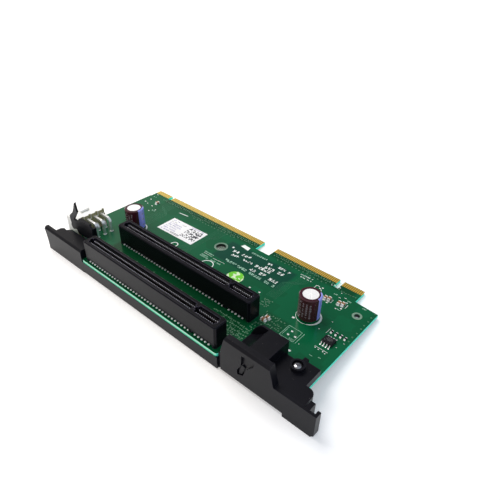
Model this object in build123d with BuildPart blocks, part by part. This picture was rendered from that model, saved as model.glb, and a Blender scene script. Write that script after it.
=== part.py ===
"""Riser board with two card slots, an edge connector, a power header and a moulded carrier frame.

Origin: left end of the front slot's centre line, on the top face of the board.
X runs along the slots, Y runs from the slots to the gold edge, Z is up. Millimetres.
"""
from build123d import *
import os

os.makedirs("parts", exist_ok=True)

# Board
board_thickness = 1.57
board_left = -29.3
board_depth = 73.5
tongue_edge = -5.05
tongue_overhang = 1.9
tongue_corner = 1.1
frame_clearance = 0.25
gold_depth = 3.6
ear_depth = 10.1
ear_slant = 0.9
left_jog = 0.5
left_jog_depth = 8.2
gold_end_chamfer = 1.2
cut_overrun = 1.0

# Contacts along the gold edge: first contact, number of contacts
contact_pitch = 1.0
gold_width = 0.7
gold_thickness = 0.05
gold_margin = 0.1
segment_margin = 0.45
segment_starts = [-28.8, -15.6, 64.1, 104.5]
segment_counts = [11, 71, 38, 11]
notch_depths = [3.7, 7.8, 6.5]

# Card slots
slot_pitch = 20.32
slot_width = 7.5
slot_height = 11.25
slot_end = 3.0
long_count = 71
short_count = 11
key_gap = 3.0
key_width = 1.6
card_slot_width = 1.8
card_slot_depth = 8.3
channel_width = 1.15
cavity_margin = 0.6
wall_lift = 1.5
foot_length = 1.7
slot_chamfer = 0.45
slot_corner = 0.8
pin_thickness = 0.35
pin_width = 0.5
pin_top_gap = 1.3
inner_row = 1.25
outer_row = 3.25
pin_lean = 0.3

# Carrier frame
frame_face = -5.25
frame_left = -35.4
frame_foot = -8.2
rail_thickness = 1.3
rail_bottom = -7.8
wing_right = -2.0
wing_top = 4.9
wing_wall = 2.5
wing_lean = 1.0
wing_hollow = 0.6
block_length = 22.5
block_back = 3.0
block_slant_length = 2.5
block_slant_depth = 2.8
lug_left = -27.5
lug_width = 4.1
lug_reach = 3.9
lug_thickness = 1.6
edge_bevel = 1.0
strip_gap = 0.4
strip_width = 1.9
strip_depth = 1.0
hub_inset = 1.2
hub_length = 26.8
hub_left_slope = 2.8
hub_right_slope = 2.3
hub_top = 11.9
hub_shoulder = 1.0
hub_wall = 3.2
hub_bottom = -6.4
tab_length = 18.5
tab_top = 3.5
tab_foot_gap = 4.7
tab_corner = 1.5
tab_return = 3.05
tab_wall = 1.3
recess_depth = 1.0
recess_tongue_height = 0.55
ramp_inset = 1.1
ramp_length = 9.2
ramp_hollow = 0.75
box_length = 9.2
box_back = 13.5
box_height = 8.0
box_groove = 1.0
groove_floor = 5.0
box_rim = 0.9
rim_length = 12.6
rim_bulge = 0.7
flange_length = 8.0
flange_height = 3.3
flange_back = 13.3
platform_length = 12.6
platform_back = 3.85
platform_corner = 3.0
flange_step = 1.0
flange_tab_width = 1.9
flange_tab_reach = 1.3
peg_gap = 0.4
peg_width = 2.0
peg_back = -0.35
peg_top = 3.4
peg_floor = -1.7
plate_back = 5.05
plate_thickness = 1.0
plate_foot_left = -9.0
plate_foot_right = -4.2
plate_end = -3.9
plate_end_reach = 2.75
plate_end_height = 12.0
plate_lip = 0.6

# Screw, its boss and its nut
screw_from_box = 8.1
screw_from_hub = 10.35
screw_radius = 1.25
screw_clearance = 0.15
screw_head_radius = 2.05
screw_head_height = 1.7
screw_head_dome = 0.35
screw_drive = 2.2
screw_drive_width = 0.6
screw_drive_depth = 0.9
screw_end = 0.6
boss_radius = 2.9
boss_height = 2.0
boss_clearance = 0.15
nut_across_flats = 5.0
nut_height = 2.0
nut_clearance = 0.05

# Power header
header_back = -20.7
header_length = 8.7
header_pitch = 4.2
header_columns = 4
header_centre = 14.15
header_side = 2.5
header_height = 9.8
header_row = 3.4
cavity_size = 3.5
cavity_corner = 0.7
cavity_depth = 7.2
back_recess_width = 1.5
back_recess_height = 2.6
back_recess_depth = 0.7
latch_width = 5.0
latch_length = 3.2
latch_height = 1.3
power_pin = 1.1
power_pin_fit = 0.05
power_bend = 2.6
power_reach_low = 2.3
power_reach_high = 7.8
power_pin_inset = 1.4
solder_height = 1.2
solder_radius = 0.9
solder_tip_radius = 0.4
solder_rim = 0.2
solder_sides = 6

# Electrolytic capacitors
capacitor_places = {"left": (-5.9, 31.65), "right": (105.0, 37.25)}
capacitor_radius = 5.0
capacitor_height = 12.5
sleeve_wall = 0.15
sleeve_shoulder = 0.4
sleeve_lip = 0.9
bung_height = 1.2
capacitor_lead_spacing = 5.0

# Small parts on the board
ceramic_length = 2.1
ceramic_width = 1.35
ceramic_height = 1.2
ceramic_terminal = 0.45
ceramic_along_y = [(-18.0, 56.55), (104.1, 52.0), (105.9, 52.5), (110.7, 53.0), (112.5, 53.5)]
ceramic_along_x = [(92.3, 22.2), (92.9, 24.2)]
chip_x = 120.05
chip_y = 30.1
chip_length = 4.9
chip_width = 3.9
chip_height = 1.45
chip_lift = 0.15
chip_pitch = 1.27
chip_lead_width = 0.42
chip_lead_thickness = 0.2
chip_lead_reach = 1.1
chip_lead_foot = 0.6
label_x = 15.0
label_y = 46.3
label_length = 26.0
label_width = 13.0
label_turn = 1.3
label_thickness = 0.1
sticker_x = 63.5
sticker_y = 35.75
sticker_radius = 4.3
tooling_hole_x = 41.0
tooling_hole_y = 49.75
tooling_hole_radius = 2.6
ground_hole_x = 120.8
ground_hole_y = 51.55
ground_hole_radius = 1.25
ring_width = 1.0
ring_gap = 0.1
ring_thickness = 0.05

# Values that follow from the sizes above
long_first = slot_end
long_last = long_first + (long_count - 1) * contact_pitch
short_first = long_last + key_gap
short_last = short_first + (short_count - 1) * contact_pitch
slot_length = short_last + slot_end
key_centre = (long_last + short_first) / 2
gold_edge = tongue_edge + board_depth
ear_edge = gold_edge - ear_depth
tongue_left = -tongue_overhang
tongue_right = slot_length + tongue_overhang
wing_back = frame_face + wing_wall
hub_back = frame_face + hub_wall
rail_back = frame_face + rail_thickness
under_wing_edge = wing_back + frame_clearance
under_hub_edge = hub_back + frame_clearance
rail_top = -board_thickness
strip_left = tongue_right + strip_gap
strip_right = strip_left + strip_width
hub_left = strip_left + hub_inset
hub_right = hub_left + hub_length
board_right = hub_right + flange_length
frame_right = hub_right + tab_length
platform_right = hub_right + platform_length
ramp_left = hub_left + ramp_inset
ramp_top = ramp_left + ramp_length
box_right = ramp_top + box_length
screw_x = box_right + screw_from_box
screw_y = hub_back + screw_from_hub
segment_ends = [
    start + 2 * segment_margin + (count - 1) * contact_pitch
    for start, count in zip(segment_starts, segment_counts)
]
slot_places = {"front": 0.0, "rear": slot_pitch}


def in_front_plane(y, x=0.0):
    """Plane seen from the front, with X to the right and Z up, at depth y and starting at x."""
    return Plane((x, y, 0), x_dir=(1, 0, 0), z_dir=(0, -1, 0))


# Circuit board: one outline with the tongue in front, the notched gold edge behind and two holes
gold_left = segment_starts[0]
gold_right = segment_ends[-1]
with BuildPart() as circuit_board:
    with BuildSketch(Plane.XY.offset(-board_thickness)):
        with BuildLine():
            Polyline(
                (board_left, under_wing_edge),
                (tongue_left, under_wing_edge),
                (tongue_left, tongue_edge),
                (tongue_right, tongue_edge),
                (tongue_right, under_hub_edge),
                (board_right, under_hub_edge),
                (board_right, ear_edge),
                (gold_right, ear_edge + ear_slant),
                (gold_right, gold_edge),
                (gold_left, gold_edge),
                (gold_left, gold_edge - left_jog_depth + left_jog),
                (board_left, gold_edge - left_jog_depth),
                close=True,
            )
        make_face()
        tongue_ends = vertices().filter_by_position(Axis.Y, tongue_edge - 0.1, tongue_edge + 0.1)
        fillet(tongue_ends, tongue_corner)
        gold_ends = vertices().filter_by_position(Axis.Y, gold_edge - 0.1, gold_edge + 0.1)
        chamfer(gold_ends, gold_end_chamfer)
        for left, right, depth in zip(segment_ends, segment_starts[1:], notch_depths):
            with Locations(((left + right) / 2, gold_edge)):
                Rectangle(right - left, 2 * depth, mode=Mode.SUBTRACT)
        with Locations((tooling_hole_x, tooling_hole_y)):
            Circle(tooling_hole_radius, mode=Mode.SUBTRACT)
        with Locations((ground_hole_x, ground_hole_y)):
            Circle(ground_hole_radius, mode=Mode.SUBTRACT)
        with Locations((screw_x, screw_y)):
            Circle(screw_radius + screw_clearance, mode=Mode.SUBTRACT)
    extrude(amount=board_thickness)
circuit_board.part.label = "circuit_board"

# Gold contacts on both faces of the edge
gold_places = [
    (start + segment_margin + i * contact_pitch, gold_edge - gold_depth / 2)
    for start, count in zip(segment_starts, segment_counts)
    for i in range(count)
]


def gold_contacts(height):
    """A row of thin contacts whose lower face is at this height."""
    with BuildPart() as contacts:
        with BuildSketch(Plane.XY.offset(height)):
            with Locations(gold_places):
                Rectangle(gold_width, gold_depth - 2 * gold_margin)
        extrude(amount=gold_thickness)
    return contacts.part


edge_contacts_top = gold_contacts(0)
edge_contacts_top.label = "edge_contacts_top"
edge_contacts_bottom = gold_contacts(-board_thickness - gold_thickness)
edge_contacts_bottom.label = "edge_contacts_bottom"


def slot_housing(y):
    """Slot moulding: raised side walls on three feet, a keyed card slot and two open contact channels."""
    runs = [(long_first, long_last), (short_first, short_last)]
    channel_offset = card_slot_width / 2 + channel_width / 2
    with BuildPart() as housing:
        with BuildSketch(Plane.XY):
            with Locations((slot_length / 2, y)):
                Rectangle(slot_length, slot_width)
        extrude(amount=slot_height)
        chamfer(housing.edges().filter_by(Axis.Z), slot_corner)
        chamfer(housing.faces().sort_by(Axis.Z)[-1].edges(), slot_chamfer)
        foot_edges = [foot_length, key_centre - foot_length / 2, key_centre + foot_length / 2,
                      slot_length - foot_length]
        for left, right in (foot_edges[:2], foot_edges[2:]):
            with BuildSketch(Plane.XY):
                with Locations(((left + right) / 2, y)):
                    Rectangle(right - left, slot_width)
            extrude(amount=wall_lift, mode=Mode.SUBTRACT)
        for first, last in runs:
            with BuildSketch(Plane.XY.offset(slot_height)):
                with Locations(((first + last) / 2, y)):
                    Rectangle(last - first + 2 * cavity_margin + key_gap - key_width, card_slot_width)
            extrude(amount=-card_slot_depth, mode=Mode.SUBTRACT)
            with BuildSketch(Plane.XY.offset(slot_height)):
                with Locations(((first + last) / 2, y)):
                    with Locations((0, -channel_offset), (0, channel_offset)):
                        Rectangle(last - first + 2 * cavity_margin, channel_width)
            extrude(amount=-slot_height, mode=Mode.SUBTRACT)
    return housing.part


def slot_contacts(y):
    """Tapered spring contacts of one slot: straight ones reach the board inside, bent ones outside."""
    places = [long_first + i * contact_pitch for i in range(long_count)]
    places += [short_first + i * contact_pitch for i in range(short_count)]
    top = slot_height - pin_top_gap
    half = pin_thickness / 2
    tip = inner_row - pin_lean
    bend = wall_lift - 2 * half
    with BuildPart() as contacts:
        for side in (-1, 1):
            with BuildSketch(*[Plane.YZ.offset(x - pin_width / 2) for x in places[1::2]]):
                with BuildLine():
                    Polyline(
                        (y + side * (inner_row - half), 0),
                        (y + side * (inner_row + half), 0),
                        (y + side * tip, top),
                        close=True,
                    )
                make_face()
            extrude(amount=pin_width)
            with BuildSketch(*[Plane.YZ.offset(x - pin_width / 2) for x in places[0::2]]):
                with BuildLine():
                    Polyline(
                        (y + side * (outer_row - half), 0),
                        (y + side * (outer_row + half), 0),
                        (y + side * (inner_row + half), wall_lift),
                        (y + side * tip, top),
                        (y + side * (inner_row - half), bend),
                        close=True,
                    )
                make_face()
            extrude(amount=pin_width)
    return contacts.part


slots = {}
for place, y in slot_places.items():
    slots[place + "_slot_housing"] = slot_housing(y)
    slots[place + "_slot_contacts"] = slot_contacts(y)
for name, piece in slots.items():
    piece.label = name

# Carrier frame: one moulding that holds the front of the board
recess_outline = [(11.5, 8.7), (18.3, 10.0), (17.3, 6.9), (14.3, 3.4), (12.4, -1.4),
                  (9.6, -2.5), (9.5, 0.0), (11.3, 3.3), (11.5, 6.2)]
recess_tongue = [(11.7, 3.6), (13.1, 3.0), (11.5, -1.5), (10.3, -1.9), (10.4, 0.0)]
plate_outline = [(-16.9, 4.1), (-15.7, 11.2), (-14.8, 13.9), (-6.0, 13.9), (-3.4, 12.4), (-4.2, 6.7),
                 (-4.2, 0.0), (-9.0, 0.0), (-9.0, 4.5)]
hook_outline = [(-16.9, 4.1), (-15.7, 11.2), (-19.4, 12.0), (-15.0, 17.6), (-15.6, 21.0), (-15.6, 22.9),
                (-16.2, 22.15), (-17.6, 19.05), (-19.4, 16.05), (-23.1, 12.85), (-23.3, 11.25),
                (-22.9, 8.6), (-23.4, 6.85), (-22.4, 4.95), (-18.8, 6.15)]
wing_middle = (frame_left + wing_lean / 2 + wing_hollow, (wing_top + frame_foot) / 2)
with BuildPart() as carrier_frame:
    with BuildSketch(in_front_plane(frame_face)):
        with BuildLine():
            Polyline(
                (frame_left, wing_top),
                (wing_right, wing_top),
                (wing_right, rail_top),
                (strip_left, rail_top),
                (strip_left, hub_shoulder),
                (hub_left, hub_shoulder),
                (hub_left + hub_left_slope, hub_top),
                (hub_right - hub_right_slope, hub_top),
                (hub_right, tab_top),
                (frame_right, tab_top),
                (frame_right, frame_foot + tab_corner),
                (frame_right - tab_corner, frame_foot),
                (hub_right + tab_foot_gap, frame_foot),
                (hub_right + tab_foot_gap, hub_bottom),
                (strip_right, hub_bottom),
                (strip_left, rail_bottom),
                (wing_right + edge_bevel, rail_bottom),
                (wing_right, frame_foot),
                (frame_left + wing_lean, frame_foot),
            )
            ThreePointArc((frame_left + wing_lean, frame_foot), wing_middle, (frame_left, wing_top))
        make_face()
    extrude(amount=-rail_thickness)
    with BuildSketch(in_front_plane(frame_face)):
        with BuildLine():
            Polyline(
                (frame_left, wing_top),
                (wing_right, wing_top),
                (wing_right, frame_foot),
                (frame_left + wing_lean, frame_foot),
            )
            ThreePointArc((frame_left + wing_lean, frame_foot), wing_middle, (frame_left, wing_top))
        make_face()
    extrude(amount=-wing_wall)
    with BuildSketch(in_front_plane(frame_face)):
        with BuildLine():
            Polyline(
                (hub_left, hub_shoulder),
                (hub_left + hub_left_slope, hub_top),
                (hub_right - hub_right_slope, hub_top),
                (hub_right, tab_top),
                (hub_right, hub_bottom),
                (hub_left, hub_bottom),
                close=True,
            )
        make_face()
    extrude(amount=-hub_wall)
    front_edges = carrier_frame.edges().filter_by(Axis.X).group_by(Axis.Y)[0]
    bevelled = front_edges.filter_by_position(Axis.Z, wing_top - 0.1, wing_top + 0.1)
    bevelled += front_edges.filter_by_position(Axis.Z, hub_top - 0.1, hub_top + 0.1)
    chamfer(bevelled, edge_bevel)
    # Block and lug that reach over the board at the left
    block_left = wing_right - block_length
    with BuildSketch(Plane.XY):
        with BuildLine():
            Polyline(
                (block_left, wing_back),
                (wing_right, wing_back),
                (wing_right, block_back),
                (block_left + block_slant_length, block_back),
                (block_left, block_back - block_slant_depth),
                close=True,
            )
        make_face()
    extrude(amount=wing_top)
    with BuildSketch(Plane.XY.offset(wing_top)):
        with BuildLine():
            Polyline(
                (lug_left, wing_back),
                (lug_left + lug_width, wing_back),
                (lug_left + lug_width, wing_back + lug_reach),
                (lug_left, wing_back + lug_reach),
                close=True,
            )
        make_face()
        lug_ends = vertices().filter_by_position(Axis.Y, wing_back + lug_reach - 0.1, 2 * lug_reach)
        fillet(lug_ends, lug_width / 2 - 0.1)
    extrude(amount=-lug_thickness)
    # Plate and hooked arm behind the block, with a foot, a lip and a folded end
    for outline in (plate_outline, hook_outline):
        with BuildSketch(in_front_plane(plate_back)):
            with BuildLine():
                Polyline(*outline, close=True)
            make_face()
        extrude(amount=plate_thickness)
    with BuildSketch(Plane.XY):
        with Locations(((plate_foot_left + plate_foot_right) / 2, (block_back + plate_back) / 2)):
            Rectangle(plate_foot_right - plate_foot_left, plate_back - block_back)
    extrude(amount=wing_top)
    with BuildSketch(Plane.XY):
        with Locations((plate_end - plate_thickness / 2, plate_back - plate_thickness + plate_end_reach / 2)):
            Rectangle(plate_thickness, plate_end_reach)
    extrude(amount=plate_end_height)
    lip_left, lip_right = plate_outline[2][0], plate_outline[3][0]
    with BuildSketch(Plane.XY.offset(plate_outline[2][1])):
        with Locations(((lip_left + lip_right) / 2, plate_back)):
            Rectangle(lip_right - lip_left, 2 * plate_lip)
    extrude(amount=-plate_thickness)
    # Raised box with its concave ramp, and a thin rim wall behind it
    rim_left = box_right - rim_length
    with BuildSketch(in_front_plane(hub_back + box_groove)):
        with BuildLine():
            Polyline(
                (ramp_top, box_height),
                (box_right, box_height),
                (box_right, 0),
                (ramp_left, 0),
            )
            ThreePointArc(
                (ramp_left, 0),
                ((ramp_left + ramp_top) / 2 + ramp_hollow, box_height / 2 - ramp_hollow),
                (ramp_top, box_height),
            )
        make_face()
    extrude(amount=-(box_back - box_rim - hub_back - box_groove))
    with BuildSketch(in_front_plane(box_back - box_rim)):
        with BuildLine():
            Polyline(
                (rim_left, box_height),
                (box_right, box_height),
                (box_right, 0),
                (ramp_left, 0),
            )
            ThreePointArc(
                (ramp_left, 0),
                ((ramp_left + rim_left) / 2 - rim_bulge, box_height / 2 + rim_bulge),
                (rim_left, box_height),
            )
        make_face()
    extrude(amount=-box_rim)
    with BuildSketch(in_front_plane(hub_back)):
        with BuildLine():
            Polyline(
                (ramp_top, groove_floor),
                (box_right, groove_floor),
                (box_right, 0),
                (ramp_top, 0),
                close=True,
            )
        make_face()
    extrude(amount=-box_groove)
    # Platform and flange over the right of the board, with a tab behind the boss
    flange_tab_right = screw_x - flange_step + flange_tab_width
    with BuildSketch(Plane.XY):
        with BuildLine():
            Polyline(
                (box_right, hub_back),
                (hub_right, hub_back),
                (hub_right, rail_back),
                (platform_right, rail_back),
                (platform_right, platform_back),
                (board_right, platform_back),
                (board_right, flange_back),
                (flange_tab_right, flange_back),
                (flange_tab_right, flange_back + flange_tab_reach),
                (flange_tab_right - flange_tab_width, flange_back + flange_tab_reach),
                (flange_tab_right - flange_tab_width, screw_y + boss_radius),
                (box_right, screw_y + boss_radius),
                close=True,
            )
        make_face()
        platform_ends = vertices().filter_by_position(Axis.X, platform_right - 0.1, platform_right + 0.1)
        fillet(platform_ends.sort_by(Axis.Y)[-1], platform_corner)
    extrude(amount=flange_height)
    with BuildSketch(Plane.XY.offset(flange_height)):
        with Locations((screw_x, screw_y)):
            Circle(boss_radius)
            Circle(screw_head_radius + boss_clearance, mode=Mode.SUBTRACT)
    extrude(amount=boss_height)
    with BuildSketch(Plane.XY):
        with Locations((screw_x, screw_y)):
            Circle(screw_radius + screw_clearance)
    extrude(amount=flange_height, mode=Mode.SUBTRACT)
    # Return wall at the end of the tab, and the peg beside the platform
    with BuildSketch(Plane.XY.offset(frame_foot + tab_corner)):
        with Locations((frame_right - tab_wall / 2, frame_face + tab_return / 2)):
            Rectangle(tab_wall, tab_return)
    extrude(amount=tab_top - frame_foot - tab_corner)
    peg_left = platform_right + peg_gap
    with BuildSketch(Plane.XY.offset(peg_floor)):
        with Locations((peg_left + peg_width / 2, (rail_back + peg_back) / 2)):
            Rectangle(peg_width, peg_back - rail_back)
    extrude(amount=peg_top - peg_floor)
    # Latch-shaped recess and its tongue, and the strip beside the rail
    with BuildSketch(in_front_plane(frame_face, hub_left)):
        with BuildLine():
            Polyline(*recess_outline, close=True)
        make_face()
    extrude(amount=-recess_depth, mode=Mode.SUBTRACT)
    with BuildSketch(in_front_plane(frame_face + recess_depth, hub_left)):
        with BuildLine():
            Polyline(*recess_tongue, close=True)
        make_face()
    extrude(amount=recess_tongue_height)
    with BuildSketch(in_front_plane(frame_face)):
        with Locations(((strip_left + strip_right) / 2, hub_shoulder)):
            Rectangle(strip_right - strip_left, 2 * (hub_shoulder - rail_bottom + cut_overrun))
    extrude(amount=-strip_depth, mode=Mode.SUBTRACT)
carrier_frame.part.label = "carrier_frame"

# Screw through the flange and the board, with its nut below
with BuildPart() as frame_screw:
    with BuildSketch(Plane.XY.offset(flange_height)):
        with Locations((screw_x, screw_y)):
            Circle(screw_head_radius)
    extrude(amount=screw_head_height)
    chamfer(frame_screw.edges().group_by(Axis.Z)[-1], screw_head_dome)
    with BuildSketch(Plane.XY.offset(flange_height)):
        with Locations((screw_x, screw_y)):
            Circle(screw_radius)
    extrude(amount=-(flange_height + board_thickness + nut_height + screw_end))
    with BuildSketch(Plane.XY.offset(flange_height + screw_head_height)):
        with Locations((screw_x, screw_y)):
            Rectangle(screw_drive, screw_drive_width)
            Rectangle(screw_drive_width, screw_drive)
    extrude(amount=-screw_drive_depth, mode=Mode.SUBTRACT)
frame_screw.part.label = "frame_screw"

with BuildPart() as frame_nut:
    with BuildSketch(Plane.XY.offset(-board_thickness)):
        with Locations((screw_x, screw_y)):
            RegularPolygon(nut_across_flats / 2, 6, major_radius=False)
            Circle(screw_radius + nut_clearance, mode=Mode.SUBTRACT)
    extrude(amount=-nut_height)
frame_nut.part.label = "frame_nut"

# Power header: housing with two rows of cavities that open to the left
header_left = header_back - header_length
header_width = header_pitch * (header_columns - 1) + 2 * header_side
column_places = [header_centre + header_pitch * (i - (header_columns - 1) / 2) for i in range(header_columns)]
row_heights = [header_row, header_row + header_pitch]
with BuildPart() as power_connector_housing:
    with BuildSketch(Plane.XY):
        with Locations(((header_left + header_back) / 2, header_centre)):
            Rectangle(header_length, header_width)
    extrude(amount=header_height)
    with BuildSketch(Plane.YZ.offset(header_left)):
        for height in row_heights:
            for y in column_places:
                with Locations((y, height)):
                    Rectangle(cavity_size, cavity_size)
        cavity_corners = vertices()
        chamfer(cavity_corners, cavity_corner)
    extrude(amount=cavity_depth, mode=Mode.SUBTRACT)
    with BuildSketch(Plane.YZ.offset(header_back)):
        for y in column_places:
            with Locations((y + header_pitch / 2 - 0.3, header_height - back_recess_height / 2)):
                Rectangle(back_recess_width, back_recess_height)
    extrude(amount=-back_recess_depth, mode=Mode.SUBTRACT)
    with BuildSketch(Plane.YZ.offset(header_left + cavity_depth)):
        for height in row_heights:
            for y in column_places:
                with Locations((y, height)):
                    Rectangle(power_pin + 2 * power_pin_fit, power_pin + 2 * power_pin_fit)
    extrude(amount=header_length - cavity_depth, mode=Mode.SUBTRACT)
    with BuildSketch(Plane.XZ.offset(-header_centre - latch_width / 2)):
        with BuildLine():
            Polyline(
                (header_left + 1, header_height),
                (header_left + 1 + latch_length, header_height),
                (header_left + 1 + latch_length, header_height + latch_height),
                close=True,
            )
        make_face()
    extrude(amount=latch_width)
power_connector_housing.part.label = "power_connector_housing"

# Power pins: square wire, bent down to the board behind the housing
with BuildPart() as power_connector_pins:
    for height, reach in zip(row_heights, (power_reach_low, power_reach_high)):
        half = power_pin / 2
        tip = header_left + power_pin_inset
        foot = header_back + reach
        for y in column_places:
            with BuildSketch(Plane.XZ.offset(-y - half)):
                with BuildLine():
                    Polyline((foot - half, 0), (foot + half, 0), (foot + half, height + half - power_bend))
                    RadiusArc((foot + half, height + half - power_bend),
                              (foot + half - power_bend, height + half), -power_bend)
                    Polyline((foot + half - power_bend, height + half), (tip, height + half),
                             (tip, height - half), (foot + half - power_bend, height - half))
                    RadiusArc((foot + half - power_bend, height - half),
                              (foot - half, height + half - power_bend), power_bend - power_pin)
                    Line((foot - half, height + half - power_bend), (foot - half, 0))
                make_face()
            extrude(amount=power_pin)
power_connector_pins.part.label = "power_connector_pins"


def solder_joints(places):
    """Small cones of solder under the board, one at each place."""
    with BuildPart() as joints:
        with BuildSketch(Plane.XY.offset(-board_thickness)):
            with Locations(places):
                RegularPolygon(solder_radius, solder_sides)
        extrude(amount=-solder_height)
        tip_edges = joints.faces().group_by(Axis.Z)[0].edges()
        chamfer(tip_edges, solder_height - solder_rim, solder_radius - solder_tip_radius)
    return joints.part


power_feet = [(header_back + reach, y)
              for reach in (power_reach_low, power_reach_high) for y in column_places]
power_solder_joints = solder_joints(power_feet)
power_solder_joints.label = "power_solder_joints"
capacitor_feet = [(x + side * capacitor_lead_spacing / 2, y)
                  for x, y in capacitor_places.values() for side in (-1, 1)]
capacitor_solder_joints = solder_joints(capacitor_feet)
capacitor_solder_joints.label = "capacitor_solder_joints"

# Electrolytic capacitors: rubber bung, aluminium can and shrunk sleeve
capacitors = {}
for side, (x, y) in capacitor_places.items():
    outer = capacitor_radius
    inner = capacitor_radius - sleeve_wall
    with BuildPart() as bung:
        with Locations((x, y, bung_height / 2)):
            Cylinder(inner - sleeve_lip, bung_height)
    with BuildPart() as can:
        with Locations((x, y, (bung_height + capacitor_height - sleeve_wall) / 2)):
            Cylinder(inner, capacitor_height - sleeve_wall - bung_height)
        chamfer(can.edges().group_by(Axis.Z)[-1], sleeve_shoulder)
    with BuildPart() as sleeve:
        with BuildSketch(Plane.XZ.offset(-y)):
            with BuildLine():
                Polyline(
                    (x + inner, bung_height),
                    (x + outer, bung_height),
                    (x + outer, capacitor_height - sleeve_shoulder),
                    (x + outer - sleeve_shoulder, capacitor_height),
                    (x + inner - sleeve_shoulder - sleeve_lip, capacitor_height),
                    (x + inner - sleeve_shoulder - sleeve_lip, capacitor_height - sleeve_wall),
                    (x + inner - sleeve_shoulder, capacitor_height - sleeve_wall),
                    (x + inner, capacitor_height - sleeve_wall - sleeve_shoulder),
                    close=True,
                )
            make_face()
        revolve(axis=Axis((x, y, 0), (0, 0, 1)))
    capacitors[side + "_capacitor_bung"] = bung.part
    capacitors[side + "_capacitor_can"] = can.part
    capacitors[side + "_capacitor_sleeve"] = sleeve.part
for name, piece in capacitors.items():
    piece.label = name

# Ceramic chip capacitors with their metal ends
ceramic_inside = ceramic_length - 2 * ceramic_terminal
with BuildPart() as ceramic_capacitor_bodies:
    with BuildSketch(Plane.XY):
        with Locations(ceramic_along_y):
            Rectangle(ceramic_width, ceramic_inside)
        with Locations(ceramic_along_x):
            Rectangle(ceramic_inside, ceramic_width)
    extrude(amount=ceramic_height)
ceramic_capacitor_bodies.part.label = "ceramic_capacitor_bodies"
terminal_offset = (ceramic_length - ceramic_terminal) / 2
with BuildPart() as ceramic_capacitor_terminals:
    with BuildSketch(Plane.XY):
        with Locations([(x, y + side * terminal_offset) for x, y in ceramic_along_y for side in (-1, 1)]):
            Rectangle(ceramic_width, ceramic_terminal)
        with Locations([(x + side * terminal_offset, y) for x, y in ceramic_along_x for side in (-1, 1)]):
            Rectangle(ceramic_terminal, ceramic_width)
    extrude(amount=ceramic_height)
ceramic_capacitor_terminals.part.label = "ceramic_capacitor_terminals"

# Eight-lead chip
with BuildPart() as chip_body:
    with BuildSketch(Plane.XY.offset(chip_lift)):
        with Locations((chip_x, chip_y)):
            Rectangle(chip_length, chip_width)
    extrude(amount=chip_height)
    chamfer(chip_body.faces().sort_by(Axis.Z)[-1].edges(), chip_height / 4)
chip_body.part.label = "chip_body"
chip_lead_places = [chip_x + chip_pitch * (i - 1.5) for i in range(4)]
with BuildPart() as chip_leads:
    knee = chip_lift + chip_height / 2
    thick = chip_lead_thickness
    for side in (-1, 1):
        root = chip_y + side * chip_width / 2
        outward = chip_y + side * (chip_width / 2 + chip_lead_reach)
        shin = outward - side * chip_lead_foot
        with BuildSketch(*[Plane.YZ.offset(x - chip_lead_width / 2) for x in chip_lead_places]):
            with BuildLine():
                Polyline(
                    (root, knee - thick),
                    (shin - side * thick, knee - thick),
                    (shin - side * thick, 0),
                    (outward, 0),
                    (outward, thick),
                    (shin, thick),
                    (shin, knee),
                    (root, knee),
                    close=True,
                )
            make_face()
        extrude(amount=chip_lead_width)
chip_leads.part.label = "chip_leads"

# Label, sticker and the plated rings round the two holes
with BuildPart() as barcode_label:
    with BuildSketch(Plane.XY):
        with Locations((label_x, label_y)):
            Rectangle(label_length, label_width, rotation=label_turn)
    extrude(amount=label_thickness)
barcode_label.part.label = "barcode_label"
with BuildPart() as round_sticker:
    with BuildSketch(Plane.XY):
        with Locations((sticker_x, sticker_y)):
            Circle(sticker_radius)
    extrude(amount=label_thickness)
round_sticker.part.label = "round_sticker"
with BuildPart() as hole_rings:
    for x, y, radius in ((tooling_hole_x, tooling_hole_y, tooling_hole_radius),
                         (ground_hole_x, ground_hole_y, ground_hole_radius)):
        with BuildSketch(Plane.XY):
            with Locations((x, y)):
                Circle(radius + ring_width)
                Circle(radius + ring_gap, mode=Mode.SUBTRACT)
        extrude(amount=ring_thickness)
hole_rings.part.label = "hole_rings"

pieces = [
    circuit_board.part,
    edge_contacts_top,
    edge_contacts_bottom,
    *slots.values(),
    carrier_frame.part,
    frame_screw.part,
    frame_nut.part,
    power_connector_housing.part,
    power_connector_pins.part,
    power_solder_joints,
    capacitor_solder_joints,
    *capacitors.values(),
    ceramic_capacitor_bodies.part,
    ceramic_capacitor_terminals.part,
    chip_body.part,
    chip_leads.part,
    barcode_label.part,
    round_sticker.part,
    hole_rings.part,
]
for piece in pieces:
    export_step(piece, f"parts/{piece.label}.step")
    print(piece.label, len(piece.solids()), "solids")
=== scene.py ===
# %% [markdown]
# A riser card for a server: a green circuit board that plugs into a motherboard with its gold edge
# and offers two card slots, held along its front by one black moulding. The solids come packed, so
# this lesson dresses them: each cell takes one finish or one family of small pieces, says what it is
# on the real card, and how it can be made in Blender.

import math
import random

import bmesh
import bpy
from mathutils import Matrix, Vector


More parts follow.
